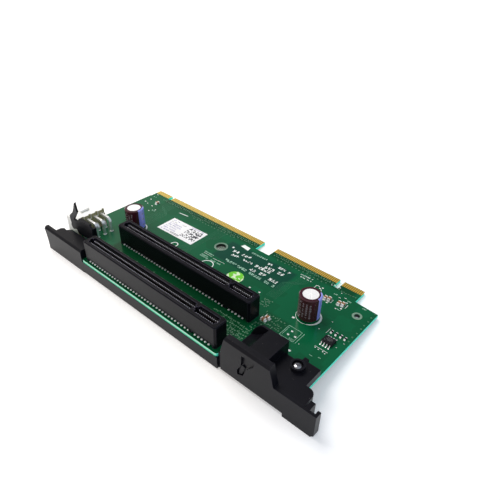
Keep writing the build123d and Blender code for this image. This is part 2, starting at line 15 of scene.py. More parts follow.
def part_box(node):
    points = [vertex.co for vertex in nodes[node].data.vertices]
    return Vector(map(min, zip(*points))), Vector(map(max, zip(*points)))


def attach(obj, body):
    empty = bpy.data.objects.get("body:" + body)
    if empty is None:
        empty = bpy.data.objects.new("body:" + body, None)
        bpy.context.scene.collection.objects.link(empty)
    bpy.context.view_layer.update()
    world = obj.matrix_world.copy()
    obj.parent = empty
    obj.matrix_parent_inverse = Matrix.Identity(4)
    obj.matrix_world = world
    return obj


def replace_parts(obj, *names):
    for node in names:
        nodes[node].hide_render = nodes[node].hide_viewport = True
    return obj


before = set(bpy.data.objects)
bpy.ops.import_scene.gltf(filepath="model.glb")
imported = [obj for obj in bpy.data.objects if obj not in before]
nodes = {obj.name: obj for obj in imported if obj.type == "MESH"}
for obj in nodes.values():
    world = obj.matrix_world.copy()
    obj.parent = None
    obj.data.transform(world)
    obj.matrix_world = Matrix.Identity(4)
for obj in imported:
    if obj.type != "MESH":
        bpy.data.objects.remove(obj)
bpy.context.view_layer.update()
MM = 0.001


def add_object(name, data):
    """Puts a mesh, a lamp or a camera in the scene."""
    thing = bpy.data.objects.new(name, data)
    bpy.context.scene.collection.objects.link(thing)
    return thing


print(len(nodes), "solids loaded")

# %% [markdown]
# The camera stands at the front right, 139 mm above the board, and looks down 35 degrees. Its place
# was worked out from the corners of the two slots, whose real sizes are known. A camera's axes are
# right, up and backwards, so the matrix is built from its forward and right directions.

# %% Place the camera
CAMERA_PLACE = Vector((181.40, -94.38, 139.00)) * MM
CAMERA_FORWARD = Vector((-0.5259, 0.6278, -0.5738)).normalized()
CAMERA_RIGHT = Vector((0.7555, 0.6547, 0.0240))
LENS = 33.74
NEAREST = 0.01


def add_camera():
    """Adds the camera and makes it the scene's own."""
    data = bpy.data.cameras.new("camera")
    data.lens = LENS
    data.clip_start = NEAREST
    camera = add_object("camera", data)
    right = (CAMERA_RIGHT - CAMERA_FORWARD * CAMERA_RIGHT.dot(CAMERA_FORWARD)).normalized()
    turn = Matrix((right, right.cross(CAMERA_FORWARD), -CAMERA_FORWARD)).transposed().to_4x4()
    camera.matrix_world = Matrix.Translation(CAMERA_PLACE) @ turn
    bpy.context.scene.camera = camera


add_camera()
print("camera at", [round(c / MM) for c in CAMERA_PLACE], "mm")

# %% [markdown]
# All shaders here are built from nodes, and these helpers keep that short. Each one adds a node, gives
# its inputs a socket to read or a plain value, and hands back the socket with the result. Positions
# are object coordinates, in metres, so a noise scale of 1000 is one wave for each millimetre.

# %% Helpers for shader nodes
def feed(tree, node, inputs):
    """Gives each input, by its name or number, a socket to read or a plain value."""
    for name, value in inputs.items():
        if hasattr(value, "is_output"):
            tree.links.new(value, node.inputs[name])
        else:
            node.inputs[name].default_value = value


def add_node(tree, kind, inputs, **settings):
    """Adds a shader node with its settings and inputs."""
    node = tree.nodes.new("ShaderNode" + kind)
    for name, value in settings.items():
        setattr(node, name, value)
    feed(tree, node, inputs)
    return node


def new_group(name, inputs, outputs):
    """Makes a shader group with named sockets, and returns its tree and its two end nodes."""
    group = bpy.data.node_groups.new(name, "ShaderNodeTree")
    for label, value in inputs.items():
        socket = group.interface.new_socket(label, in_out="INPUT", socket_type="NodeSocketFloat")
        socket.default_value = value
    for label in outputs:
        group.interface.new_socket(label, in_out="OUTPUT", socket_type="NodeSocketFloat")
    return group, group.nodes.new("NodeGroupInput"), group.nodes.new("NodeGroupOutput")


def place_group(tree, group, values):
    """Puts a group in a tree with its own input values, and returns its outputs."""
    return add_node(tree, "Group", values, node_tree=group).outputs


def math_node(tree, operation, *values):
    """A sum, a product or another operation on sockets and numbers."""
    return add_node(tree, "Math", dict(enumerate(values)), operation=operation).outputs[0]


def vector_node(tree, operation, *values):
    """An operation on vectors; dot products and lengths give a number."""
    node = add_node(tree, "VectorMath", dict(enumerate(values)), operation=operation)
    return node.outputs["Value" if operation in ("DOT_PRODUCT", "LENGTH") else "Vector"]


def noise(tree, vector, scale, detail):
    """A noise between 0 and 1."""
    return add_node(tree, "TexNoise", {"Vector": vector, "Scale": scale, "Detail": detail}).outputs["Fac"]


def mix_colour(tree, factor, a, b):
    """Goes from colour a to colour b; of a Mix node's many sockets, 6 and 7 are its two colours."""
    return add_node(tree, "Mix", {0: factor, 6: a, 7: b}, data_type="RGBA").outputs[2]


def smooth_step(tree, value, low, high):
    """Maps a socket from low..high to 0..1 with soft ends."""
    inputs = {"Value": value, "From Min": low, "From Max": high}
    return add_node(tree, "MapRange", inputs, interpolation_type="SMOOTHSTEP").outputs["Result"]


def axis_of(tree, vector, axis):
    """One of a vector's three numbers."""
    return add_node(tree, "SeparateXYZ", {0: vector}).outputs[axis]


def place_of(tree):
    """Object coordinates, which here are the card's own metres."""
    return add_node(tree, "TexCoord", {}).outputs["Object"]


def normal_of(tree, kind="Normal"):
    """The direction that a face looks in."""
    return add_node(tree, "NewGeometry", {}).outputs[kind]


print("helpers ready")

# %% [markdown]
# The card doesn't lie flat: it rests on the lower edge of its black frame and on the underside of the
# gold edge, so the table is a plane through those two lines. Its shader is a pale diffuse. A little
# light of its own, seen only by the camera and in reflections, lifts it to white without putting more
# light on the card, and keeps the shadow. The lift grows away from the card, where no lamp reaches,
# and it is warm in front of the card and cool at its right, as the two shadows are.

# %% Lay the table under the two edges that touch it
frame_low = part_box("carrier_frame")[0]
gold_low, gold_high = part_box("edge_contacts_bottom")
slope = (gold_low.z - frame_low.z) / (gold_high.y - frame_low.y)
TABLE_SIZE = 6.0
TABLE_COLOUR = (0.86, 0.86, 0.87, 1.0)
LIFT_WARM = (1.0, 0.95, 0.90, 1.0)
LIFT_COOL = (0.84, 0.90, 1.0, 1.0)
COOL_SIDE = Vector((0.86, 0.50, 0.0)).normalized()
COOL_RANGE = (0.07, 0.14)
LIFT_NEAR = 0.32
LIFT_FAR = 0.60
FAR_RANGE = (0.25, 0.90)


def camera_mask(tree):
    """1 for rays from the camera and for rays that show a reflection."""
    path = add_node(tree, "LightPath", {}).outputs
    seen = math_node(tree, "MAXIMUM", path["Is Camera Ray"], path["Is Glossy Ray"])
    return math_node(tree, "MAXIMUM", seen, path["Is Transmission Ray"])


def build_table_material():
    """Pale diffuse with the lift added to it."""
    material = bpy.data.materials.new("table_top")
    material.use_nodes = True
    tree = material.node_tree
    tree.nodes.clear()
    place = place_of(tree)
    cool = smooth_step(tree, vector_node(tree, "DOT_PRODUCT", place, COOL_SIDE), *COOL_RANGE)
    far = smooth_step(tree, vector_node(tree, "LENGTH", place), *FAR_RANGE)
    lift = math_node(tree, "MULTIPLY_ADD", far, LIFT_FAR - LIFT_NEAR, LIFT_NEAR)
    strength = math_node(tree, "MULTIPLY", camera_mask(tree), lift)
    tint = mix_colour(tree, cool, LIFT_WARM, LIFT_COOL)
    matt = add_node(tree, "BsdfDiffuse", {"Color": TABLE_COLOUR})
    glow = add_node(tree, "Emission", {"Color": tint, "Strength": strength})
    both = add_node(tree, "AddShader", {0: matt.outputs[0], 1: glow.outputs[0]})
    add_node(tree, "OutputMaterial", {"Surface": both.outputs[0]})
    return material


def add_table():
    """Adds the tilted table top."""
    half = TABLE_SIZE / 2
    corners = [(x, y, frame_low.z + (y - frame_low.y) * slope)
               for x, y in ((-half, -half), (half, -half), (half, half), (-half, half))]
    mesh = bpy.data.meshes.new("table")
    mesh.from_pydata(corners, [], [(0, 1, 2, 3)])
    mesh.materials.append(build_table_material())
    table = add_object("table", mesh)


add_table()
print("table slope", round(math.degrees(math.atan(slope)), 2), "degrees")

# %% [markdown]
# Product photographs of small boards are lit by large soft boxes. One wide lamp hangs over the card
# at the left, and a lower one stands in front and lights the slots' long faces. Black plastic shows
# hardly any colour of its own, only what it reflects, so the world is drawn too: warm in front, cool
# at the right, and dark at the back left, where the tops of the slots look when they are seen from
# the camera.

# %% Light the studio
LAMPS = {
    "overhead": ((-0.34, 0.08, 0.66), 0.46, 3.9, (1.0, 0.975, 0.94)),
    "front": ((0.10, -0.65, 0.38), 0.24, 0.75, (1.0, 0.98, 0.96)),
}
AIM = Vector((0.045, 0.025, 0.0))
WORLD_STRENGTH = 0.60
WORLD_WARM = (1.0, 0.945, 0.89, 1.0)
WORLD_SIDES = [
    (COOL_SIDE, (0.74, 0.87, 1.0, 1.0), -0.5, 0.6),
    (Vector((-0.20, 0.75, 0.63)).normalized(), (0.27, 0.27, 0.33, 1.0), 0.76, 0.99),
]


def add_lamp(name, place, size, power, colour):
    """Adds one square soft box that faces the card."""
    data = bpy.data.lights.new(name, "AREA")
    data.size = size
    data.energy = power
    data.color = colour
    lamp = add_object(name, data)
    lamp.location = place
    lamp.rotation_euler = (AIM - Vector(place)).to_track_quat("-Z", "Y").to_euler()


def add_world():
    """Draws the world: warm, turning cool on one side and dark on another."""
    world = bpy.data.worlds.new("studio")
    world.use_nodes = True
    tree = world.node_tree
    direction = add_node(tree, "TexCoord", {}).outputs["Generated"]
    colour = WORLD_WARM
    for side, shade, low, high in WORLD_SIDES:
        share = smooth_step(tree, vector_node(tree, "DOT_PRODUCT", direction, side), low, high)
        colour = mix_colour(tree, share, colour, shade)
    feed(tree, tree.nodes["Background"], {"Color": colour, "Strength": WORLD_STRENGTH})
    bpy.context.scene.world = world


for lamp_name, lamp_values in LAMPS.items():
    add_lamp(lamp_name, *lamp_values)
add_world()
bpy.context.scene.view_settings.view_transform = "Standard"
print(len(LAMPS), "lamps")

# %% [markdown]
# Every finish needs the same few effects at different strengths: a slow drift of colour, a fine grain,
# lighter edges, partly rubbed and partly a painted highlight, and dust. Each effect is a node group with
# named inputs and outputs. It is built once and placed in each material with its own values, which is
# how a studio keeps fifty materials consistent. The first is grain, which tells moulded plastic from
# paint: a noise with waves of about a tenth of a millimetre, used as height and as roughness. Drift is a
# second noise, many times slower, that keeps a large face from looking like one flat colour.

# %% The grain and drift group
def build_grain_group():
    """Grain and drift from object coordinates."""
    group, start, end = new_group(
        "surface_grain", {"Grain Scale": 9000.0, "Drift Scale": 60.0}, ["Grain", "Drift"]
    )
    place = place_of(group)
    for effect in ("Grain", "Drift"):
        feed(group, end, {effect: noise(group, place, start.outputs[effect + " Scale"], 3.0)})
    return group


GRAIN = build_grain_group()
print("group", GRAIN.name)

# %% [markdown]
# Edges go lighter, partly where hands and slots rub them and partly as a painted highlight, where a
# small rounding would catch the light. A Bevel node bends the normal near an edge, and where it differs
# from the true normal there is an edge. A noise breaks the line up, because wear is never even.

# %% The edge wear and painted highlight group
BEND_RANGE = (0.02, 0.25)
PATCH_SCALE = 900.0


def build_edge_wear_and_highlight_group():
    """A mask that is 1 on edges, for wear and a painted highlight, and 0 on open faces."""
    group, start, end = new_group("edge_wear_and_highlight", {"Width": 0.0004, "Patchiness": 0.5}, ["Edge"])
    bevel = add_node(group, "Bevel", {"Radius": start.outputs["Width"]}, samples=6)
    alike = vector_node(group, "DOT_PRODUCT", bevel.outputs["Normal"], normal_of(group, "True Normal"))
    edge = smooth_step(group, math_node(group, "SUBTRACT", 1.0, alike), *BEND_RANGE)
    patches = smooth_step(group, noise(group, place_of(group), PATCH_SCALE, 4.0), 0.3, 0.7)
    spared = math_node(group, "MULTIPLY", patches, start.outputs["Patchiness"])
    worn = math_node(group, "SUBTRACT", 1.0, spared)
    feed(group, end, {"Edge": math_node(group, "MULTIPLY", edge, worn)})
    return group


EDGE_WEAR_AND_HIGHLIGHT = build_edge_wear_and_highlight_group()
print("group", EDGE_WEAR_AND_HIGHLIGHT.name)

# %% [markdown]
# Dust and lint settle on every upward face of a part that has lain in a store. On black plastic they
# are what the eye notices first. A Voronoi texture gives each cell one tiny point at a random place,
# and only the cells with a low random value keep theirs.

# %% The dust group
SPECK_RANGE = (0.16, 0.08)
UPWARD_RANGE = (0.5, 0.9)


def build_dust_group():
    """A mask of scattered specks on faces that look up."""
    group, start, end = new_group("settled_dust", {"Speck Scale": 700.0, "Share": 0.3}, ["Dust"])
    cells = add_node(group, "TexVoronoi", {"Vector": place_of(group), "Scale": start.outputs["Speck Scale"]})
    near = smooth_step(group, cells.outputs["Distance"], *SPECK_RANGE)
    chance = add_node(group, "SeparateColor", {0: cells.outputs["Color"]}).outputs["Red"]
    kept = math_node(group, "LESS_THAN", chance, start.outputs["Share"])
    upward = smooth_step(group, axis_of(group, normal_of(group), "Z"), *UPWARD_RANGE)
    specks = math_node(group, "MULTIPLY", math_node(group, "MULTIPLY", near, kept), upward)
    feed(group, end, {"Dust": specks})
    return group


DUST = build_dust_group()
print("group", DUST.name)

# %% [markdown]
# One function builds the usual finish: a colour that drifts, lighter edges that are partly worn and
# partly a painted highlight, grain as height and as roughness, and some dust. The shader itself, and
# every value that is the same all over, stays in the material.

# %% The usual finish
GRAIN_SPREAD = 0.16
DRIFT_SCALE = 70.0
SPECK_SCALE = 1500.0
DUST_COLOUR = (0.22, 0.21, 0.20, 1.0)
FACING_RANGE = (0.3, 0.9)
SHARP_ANGLE = 35


def new_material(name):
    """A new node material with its tree and its shader."""
    material = bpy.data.materials.new(name)
    material.use_nodes = True
    tree = material.node_tree
    return material, tree, tree.nodes["Principled BSDF"]


def add_bump(tree, shader, height, distance, strength):
    """Turns a height into bent normals."""
    bump = add_node(tree, "Bump", {"Height": height, "Distance": distance, "Strength": strength})
    feed(tree, shader, {"Normal": bump.outputs["Normal"]})


def add_grain(tree, shader, grain, rough, height):
    """Feeds the grain to the roughness and, as a height, to the normal."""
    uneven = math_node(tree, "MULTIPLY_ADD", grain["Grain"], GRAIN_SPREAD, rough - GRAIN_SPREAD / 2)
    feed(tree, shader, {"Roughness": uneven})
    add_bump(tree, shader, grain["Grain"], height, 0.6)


def height_mask(tree, low, high):
    """0 below one height and 1 above another, in metres."""
    return smooth_step(tree, axis_of(tree, place_of(tree), "Z"), low, high)


def facing_mask(tree, axis):
    """0 to 1 as faces turn towards an axis."""
    return smooth_step(tree, axis_of(tree, normal_of(tree), axis), *FACING_RANGE)


def finish(name, colour, rough, metal=0.0, drift=0.12, edge_wear_highlight_colour=None, edge_width=0.00025,
           grain_scale=9000.0, grain_height=0.000004, specular=0.5, dust=0.0, second=None):
    """A material with drifting colour, edges that are worn and lit by a painted highlight, a fine grain,
    dust and, where asked, a second colour.
    """
    material, tree, shader = new_material(name)
    grain = place_group(tree, GRAIN, {"Grain Scale": grain_scale, "Drift Scale": DRIFT_SCALE})
    dark, light = ([min(1.0, c * (1 + way * drift)) for c in colour] + [1.0] for way in (-1, 1))
    base = mix_colour(tree, smooth_step(tree, grain["Drift"], 0.3, 0.7), dark, light)
    if second:
        mask, *values, other = second
        base = mix_colour(tree, mask(tree, *values), base, other)
    # The lighter edge colour is partly wear and partly a painted highlight.
    edge_wear_highlight_colour = edge_wear_highlight_colour or [min(1.0, c * 1.6 + 0.01) for c in colour]
    edges = place_group(tree, EDGE_WEAR_AND_HIGHLIGHT, {"Width": edge_width, "Patchiness": 0.5})
    base = mix_colour(tree, edges["Edge"], base, [*edge_wear_highlight_colour, 1.0])
    if dust:
        specks = place_group(tree, DUST, {"Speck Scale": SPECK_SCALE, "Share": dust})
        base = mix_colour(tree, specks["Dust"], base, DUST_COLOUR)
    feed(tree, shader, {"Base Color": base, "Metallic": metal, "Specular IOR Level": specular})
    add_grain(tree, shader, grain, rough, grain_height)
    return material


def dress(names, material, bevel=0.0):
    """Gives one or more solids their material and, where asked, rounded edges."""
    for name in names:
        node = nodes[name]
        node.data.materials.clear()
        node.data.materials.append(material)
        if bevel:
            modifier = node.modifiers.new("soft_edges", "BEVEL")
            modifier.width = bevel
            modifier.segments = 2
            modifier.limit_method = "ANGLE"
            modifier.angle_limit = math.radians(SHARP_ANGLE)
            modifier.harden_normals = True
    print(material.name, "on", ", ".join(names))


print("finishes ready")

# %% [markdown]
# The small pieces are drawn as meshes, in millimetres, from a few forms that cover most of an
# electronic board: a loft through equal outlines, a turned form about an upright axis, and a thin film
# that follows a round wall. One more function turns the drawing into a piece that rides on the card.

# %% Forms for the small pieces
SIGNS = ((-1, -1), (1, -1), (1, 1), (-1, 1))


def add_loft(shape, *outlines):
    """A solid through two or more outlines that have the same number of points."""
    rings = [[shape.verts.new(point) for point in outline] for outline in outlines]
    shape.faces.new(rings[0][::-1])
    shape.faces.new(rings[-1])
    for lower, upper in zip(rings, rings[1:]):
        for i in range(len(lower)):
            j = (i + 1) % len(lower)
            shape.faces.new((lower[i], lower[j], upper[j], upper[i]))


def add_prism(shape, outline, low, high):
    """A straight prism over a closed outline, between two heights."""
    add_loft(shape, *([(x, y, z) for x, y in outline] for z in (low, high)))


def turned(x, y, along, across, angle):
    """A point at a distance along and across a direction from x, y."""
    cos, sin = math.cos(angle), math.sin(angle)
    return x + along * cos - across * sin, y + along * sin + across * cos


def add_bar(shape, x, y, length, width, low, high, angle=0.0):
    """A flat bar centred on x, y."""
    outline = [turned(x, y, a * length / 2, b * width / 2, angle) for a, b in SIGNS]
    add_prism(shape, outline, low, high)


def add_line(shape, ends, width, low, high):
    """A flat bar between two points, given as four numbers."""
    start, end = Vector(ends[:2]), Vector(ends[2:])
    along, middle = end - start, (start + end) / 2
    add_bar(shape, middle.x, middle.y, along.length, width, low, high, math.atan2(along.y, along.x))


def add_lathe(shape, x, y, profile, sides, closed=False):
    """A turned form from (radius, height) pairs; a pair with no radius closes it on its axis."""
    rings = []
    for radius, z in profile:
        angles = [2 * math.pi * i / sides for i in range(sides if radius else 1)]
        rings.append([shape.verts.new((*turned(x, y, radius, 0.0, a), z)) for a in angles])
    if closed:
        rings.append(rings[0])
    for lower, upper in zip(rings, rings[1:]):
        for i in range(sides):
            pairs = ((lower, i), (lower, i + 1), (upper, i + 1), (upper, i))
            shape.faces.new(list(dict.fromkeys(ring[k % len(ring)] for ring, k in pairs)))


def add_ring(shape, x, y, inner, outer, low, high, sides=32):
    """A flat ring."""
    add_lathe(shape, x, y, [(outer, low), (outer, high), (inner, high), (inner, low)], sides, closed=True)


def add_film(shape, x, y, profile, start, end, steps, thickness):
    """A thin film on a round wall, over (radius, height, lift) rows and a range of angles."""
    section = [(radius, z) for radius, z, _ in profile]
    section += [(radius + thickness, z + thickness * lift) for radius, z, lift in reversed(profile)]
    angles = [start + (end - start) * i / steps for i in range(steps + 1)]
    add_loft(shape, *([(*turned(x, y, radius, 0.0, angle), z) for radius, z in section] for angle in angles))


def mesh_from(name, shape):
    """Turns a drawing in millimetres into a mesh in metres."""
    bmesh.ops.recalc_face_normals(shape, faces=shape.faces)
    bmesh.ops.scale(shape, vec=(MM, MM, MM), verts=shape.verts)
    mesh = bpy.data.meshes.new(name)
    shape.to_mesh(mesh)
    shape.free()
    return mesh


def add_piece(name, shape, material, sharp_angle=SHARP_ANGLE):
    """Turns a drawing into a piece that rides on the card."""
    mesh = mesh_from(name, shape)
    mesh.shade_smooth()
    mesh.set_sharp_from_angle(angle=math.radians(sharp_angle))
    mesh.materials.append(material)
    piece = add_object(name, mesh)
    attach(piece, "root")
    print(name, len(mesh.polygons), "faces")
    return piece


def corners_of(name):
    """A solid's lowest corner, middle and highest corner, in millimetres."""
    low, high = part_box(name)
    return low / MM, (low / MM + high / MM) / 2, high / MM


board_low, _, board_high = corners_of("circuit_board")
BOARD_TOP = board_high.z
BOARD_BOTTOM = board_low.z
print("board from", round(BOARD_BOTTOM, 2), "to", round(BOARD_TOP, 2), "mm")

# %% [markdown]
# The board is glass cloth in resin, with copper below a green resist. Seen from above the resist is
# lighter over copper and darker over bare laminate. The cut edge has no resist, so the resin shows:
# pale mint, painted brighter where light would come through it. A group gives the masks: a blocky
# Voronoi for the copper areas, crossed waves for the glass cloth and the normal for the cut edge.

# %% The board's layers as a group
BARE_SHARE = 0.42
CUT_STEEPNESS = 0.5


def build_layer_group():
    """Masks for copper under the resist, the glass weave and the cut edge."""
    group, start, end = new_group(
        "board_layers", {"Copper Scale": 110.0, "Weave Scale": 1500.0}, ["Copper", "Weave", "Cut Edge"]
    )
    place = place_of(group)
    inputs = {"Vector": place, "Scale": start.outputs["Copper Scale"], "Randomness": 0.8}
    cells = add_node(group, "TexVoronoi", inputs, distance="CHEBYCHEV")
    chance = add_node(group, "SeparateColor", {0: cells.outputs["Color"]}).outputs["Green"]
    waves = []
    for axis in "XY":
        turns = math_node(group, "MULTIPLY", axis_of(group, place, axis), start.outputs["Weave Scale"])
        waves.append(math_node(group, "SINE", turns))
    steepness = math_node(group, "ABSOLUTE", axis_of(group, normal_of(group, "True Normal"), "Z"))
    feed(group, end, {
        "Copper": math_node(group, "GREATER_THAN", chance, BARE_SHARE),
        "Weave": math_node(group, "MULTIPLY", *waves),
        "Cut Edge": math_node(group, "LESS_THAN", steepness, CUT_STEEPNESS),
    })
    return group


LAYERS = build_layer_group()
print("group", LAYERS.name)

# %% [markdown]
# On the upper face a few rectangles are darker, each given by its reach along X and Y in millimetres,
# a strength and a colour: there is no copper plane under the print and along the gold edge, and between
# the slots, out to their right ends, and in front of the front slot the darker green is a painted shade,
# where the slots cast shade. The cut edge goes from pale resin at its top to greener glass below, with
# fine waves for the cloth's plies. The pale resin is painted brighter, as a glow of light coming through
# it, and the faces that look to the board's right end are painted a more saturated, glowing green.

# %% The board's finish
RESIST_COPPER = (0.001, 0.112, 0.042, 1.0)
RESIST_BARE = (0.001, 0.096, 0.035, 1.0)
RESIST_TEAL = (0.001, 0.052, 0.032, 1.0)
RESIST_DARK_AND_SHADED = (0.0005, 0.050, 0.014, 1.0)
# The cut edge's brightness, and the saturated green of its right-facing faces, are a painted glow of light
# coming through the laminate.
CUT_RESIN_AND_GLOW = (0.56, 1.0, 0.80, 1.0)
CUT_GLASS = (0.04, 0.66, 0.36, 1.0)
CUT_RIGHT_PAINTED_GLOW = (0.10, 1.0, 0.76, 1.0)
PLY_SCALE = 24000.0
PLY_CONTRAST = 0.15
RESIST_ROUGH = (0.10, 0.11)
CUT_ROUGH = 0.35
COPPER_STEP = 4.0
CLOUD_SHARE = 0.35
FADE = 1.2
# Between the slots, out to their right ends, and in front of the front slot, the darker rectangles are a
# painted shade.
AREAS = [
    ((42.0, 84.5), (41.5, 57.5), 0.85, RESIST_TEAL), ((-1.0, 90.0), (2.0, 19.0), 0.90, RESIST_DARK_AND_SHADED),
    ((90.0, 102.5), (-4.0, 28.0), 0.60, RESIST_DARK_AND_SHADED), ((-1.0, 90.0), (-6.0, -2.0), 0.60, RESIST_DARK_AND_SHADED),
    ((-17.0, 113.0), (61.0, 66.0), 0.75, RESIST_DARK_AND_SHADED),
]


def area_mask(tree, place, across, along):
    """A mask that is 1 inside a rectangle given in millimetres and fades at its border."""
    masks = []
    for axis, (low, high) in zip("XY", (across, along)):
        away = math_node(tree, "SUBTRACT", axis_of(tree, place, axis), (low + high) / 2 * MM)
        outside, inside = ((high - low) / 2 + FADE) * MM, ((high - low) / 2 - FADE) * MM
        masks.append(smooth_step(tree, math_node(tree, "ABSOLUTE", away), outside, inside))
    return math_node(tree, "MULTIPLY", *masks)


def resist_colour(tree, place, layers, grain):
    """Green over copper and laminate, cloudy, and darker in the areas, three of which are a painted shade.
    """
    resist = mix_colour(tree, layers["Copper"], RESIST_BARE, RESIST_COPPER)
    clouds = math_node(tree, "MULTIPLY", smooth_step(tree, grain["Drift"], 0.25, 0.75), CLOUD_SHARE)
    resist = mix_colour(tree, clouds, resist, RESIST_BARE)
    upper = facing_mask(tree, "Z")
    for across, along, share, shade in AREAS:
        inside = math_node(tree, "MULTIPLY", area_mask(tree, place, across, along), upper)
        resist = mix_colour(tree, math_node(tree, "MULTIPLY", inside, share), resist, shade)
    return resist


def cut_colour(tree, place):
    """The bare cut edge: pale resin above, painted brighter as a glow, greener glass below, and a painted
    glow on faces that look right.
    """
    height = axis_of(tree, place, "Z")
    plies = math_node(tree, "SINE", math_node(tree, "MULTIPLY", height, PLY_SCALE))
    depth = smooth_step(tree, height, BOARD_TOP * MM, BOARD_BOTTOM * MM)
    cut = mix_colour(tree, math_node(tree, "MULTIPLY_ADD", plies, PLY_CONTRAST, depth), CUT_RESIN_AND_GLOW, CUT_GLASS)
    return mix_colour(tree, facing_mask(tree, "X"), cut, CUT_RIGHT_PAINTED_GLOW)


def build_board_material():
    """Glossy resist on both faces and a duller cut edge, with a little relief."""
    material, tree, shader = new_material("board_resist")
    place = place_of(tree)
    layers = place_group(tree, LAYERS, {"Copper Scale": 110.0, "Weave Scale": 3900.0})
    grain = place_group(tree, GRAIN, {"Grain Scale": 2500.0, "Drift Scale": 35.0})
    resist = resist_colour(tree, place, layers, grain)
    base = mix_colour(tree, layers["Cut Edge"], resist, cut_colour(tree, place))
    smooth = math_node(tree, "MULTIPLY_ADD", grain["Grain"], *RESIST_ROUGH)
    dull = math_node(tree, "MULTIPLY_ADD", layers["Cut Edge"], CUT_ROUGH, smooth)
    feed(tree, shader, {"Base Color": base, "Roughness": dull, "Specular IOR Level": 0.42})
    relief = math_node(tree, "MULTIPLY_ADD", layers["Copper"], COPPER_STEP, layers["Weave"])
    add_bump(tree, shader, relief, 0.000003, 0.35)
    return material


dress(["circuit_board"], build_board_material())

# %% [markdown]
# The gold contacts are thin plates of copper with nickel and gold on top. The plating is satin. Its
# colour goes from a lit yellow at the left end to a shaded ochre at the right, a painted reflection.
# Each plate has fine scratches along Y, from the times the card was pushed into its socket: a noise
# that is stretched along Y gives them.

# %% The gold finish
# Painted reflection: the left end's lighter yellow and the right end's ochre are lit and shaded tones of one
# gold.
GOLD_LIT_LEFT = (1.0, 0.70, 0.17, 1.0)
GOLD_SHADED_RIGHT = (0.80, 0.46, 0.06, 1.0)
GOLD_CLOUDS = 0.3
GOLD_ROUGH = (0.22, 0.26)
SCRATCH_SCALE = 16000.0
SCRATCH_STRETCH = (1.0, 0.04, 1.0)


def build_gold_material():
    """Satin gold with a painted reflection that lights its left end and deepens to the right, with scratches
    along Y.
    """
    material, tree, shader = new_material("edge_gold")
    place = place_of(tree)
    to_right = smooth_step(tree, axis_of(tree, place, "X"), board_low.x * MM, board_high.x * MM)
    grain = place_group(tree, GRAIN, {"Grain Scale": 5000.0, "Drift Scale": 120.0})
    even = math_node(tree, "SUBTRACT", to_right, GOLD_CLOUDS / 2)
    tint = math_node(tree, "MULTIPLY_ADD", grain["Drift"], GOLD_CLOUDS, even)
    scratches = noise(tree, vector_node(tree, "MULTIPLY", place, SCRATCH_STRETCH), SCRATCH_SCALE, 3.0)
    feed(tree, shader, {
        "Base Color": mix_colour(tree, tint, GOLD_LIT_LEFT, GOLD_SHADED_RIGHT),
        "Roughness": math_node(tree, "MULTIPLY_ADD", scratches, *GOLD_ROUGH),
        "Metallic": 0.45,
    })
    add_bump(tree, shader, scratches, 0.000002, 0.4)
    return material


dress(["edge_contacts_top", "edge_contacts_bottom"], build_gold_material())

# %% [markdown]
# The tinned and soldered parts are bright and slightly uneven. The solder's domes do the rest: each
# one catches the lamp somewhere, which is why a row of soldered tails looks like a string of white
# dots.

# %% Tin and solder
tin = finish("tinned_wire", (0.98, 0.97, 0.96), 0.20, metal=0.62, drift=0.08, grain_scale=6000.0)
solder = finish("bright_solder", (1.0, 1.0, 0.98), 0.20, metal=0.16, drift=0.06, grain_scale=4000.0)
DOME = [(1.0, 0.0), (0.96, 0.35), (0.80, 0.72), (0.48, 0.95), (0.0, 1.0)]


def add_dome(shape, x, y, radius, low, height, sides):
    """A drop of solder on a face; a negative height hangs it below."""
    add_lathe(shape, x, y, [(0.0, low)] + [(radius * r, low + height * z) for r, z in DOME], sides)


def add_cone(shape, x, y, radius, low, height, wire, sides):
    """Solder drawn up a wire: wide on the pad, thin at the wire's cut end."""
    profile = [(0.0, 0.0), (radius, 0.0), (radius * 0.80, 0.12), (radius * 0.58, 0.34), (wire * 1.25, 0.70),
               (wire, 0.92), (wire * 0.7, 1.0), (0.0, 1.0)]
    add_lathe(shape, x, y, [(r, low + height * z) for r, z in profile], sides)


print("metals ready")

# %% [markdown]
# Each slot is one black moulding with thin walls between its contacts, so a contact can't touch its
# neighbour. The imported solid has the two open channels, and the walls are added here as a comb: one
# narrow prism for each gap, with a sloped top that leads the card in. Of the contacts only the tips
# catch light, so a painted shade makes them nearly black below and a painted light makes the tips
# pale, and each gets a small rounded head.

# %% The slots' combs and contacts
SLOTS = ("front", "rear")
CONTACT_PITCH = 1.0
LONG_COUNT = 71
SHORT_COUNT = 11
SLOT_END = 3.0
KEY_GAP = 3.0
CHANNEL_INNER = 0.9
CHANNEL_OUTER = 2.05
COMB_THICKNESS = 0.34
COMB_BOTTOM = 1.8
COMB_TOP_GAP = 0.95
COMB_SLOPE = 0.6
BRIGHT_TIP = 0.0012
TIP_LIT_COLOUR = (0.42, 0.40, 0.46, 1.0)
HEAD_ROW = 0.97
HEAD_SIZE = 0.20
HEAD_SINK = 0.20
HEAD_RISE = 0.40

# The slots' lilac edges are a painted highlight.
slot_plastic = finish("slot_moulding", (0.004, 0.004, 0.006), 0.28, edge_width=0.0005, specular=0.12,
                      edge_wear_highlight_colour=(0.100, 0.090, 0.140), grain_height=0.000003, dust=0.05)
comb_plastic = finish("comb_moulding", (0.004, 0.004, 0.006), 0.40, edge_width=0.0001, specular=0.10)
contact_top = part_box("front_slot_contacts")[1].z
tip_range = (contact_top - BRIGHT_TIP, contact_top - BRIGHT_TIP * 0.6)
# Painted shade and light: the contacts are nearly black below, as in shade, and pale at the tips, as lit.
contact_shaded_and_lit = finish("contact_spring_painted_shade", (0.045, 0.040, 0.036), 0.26, metal=0.3, drift=0.06,
                       second=(height_mask, *tip_range, TIP_LIT_COLOUR))
head_metal = finish("contact_head", (0.78, 0.76, 0.84), 0.30, metal=0.25, drift=0.04)


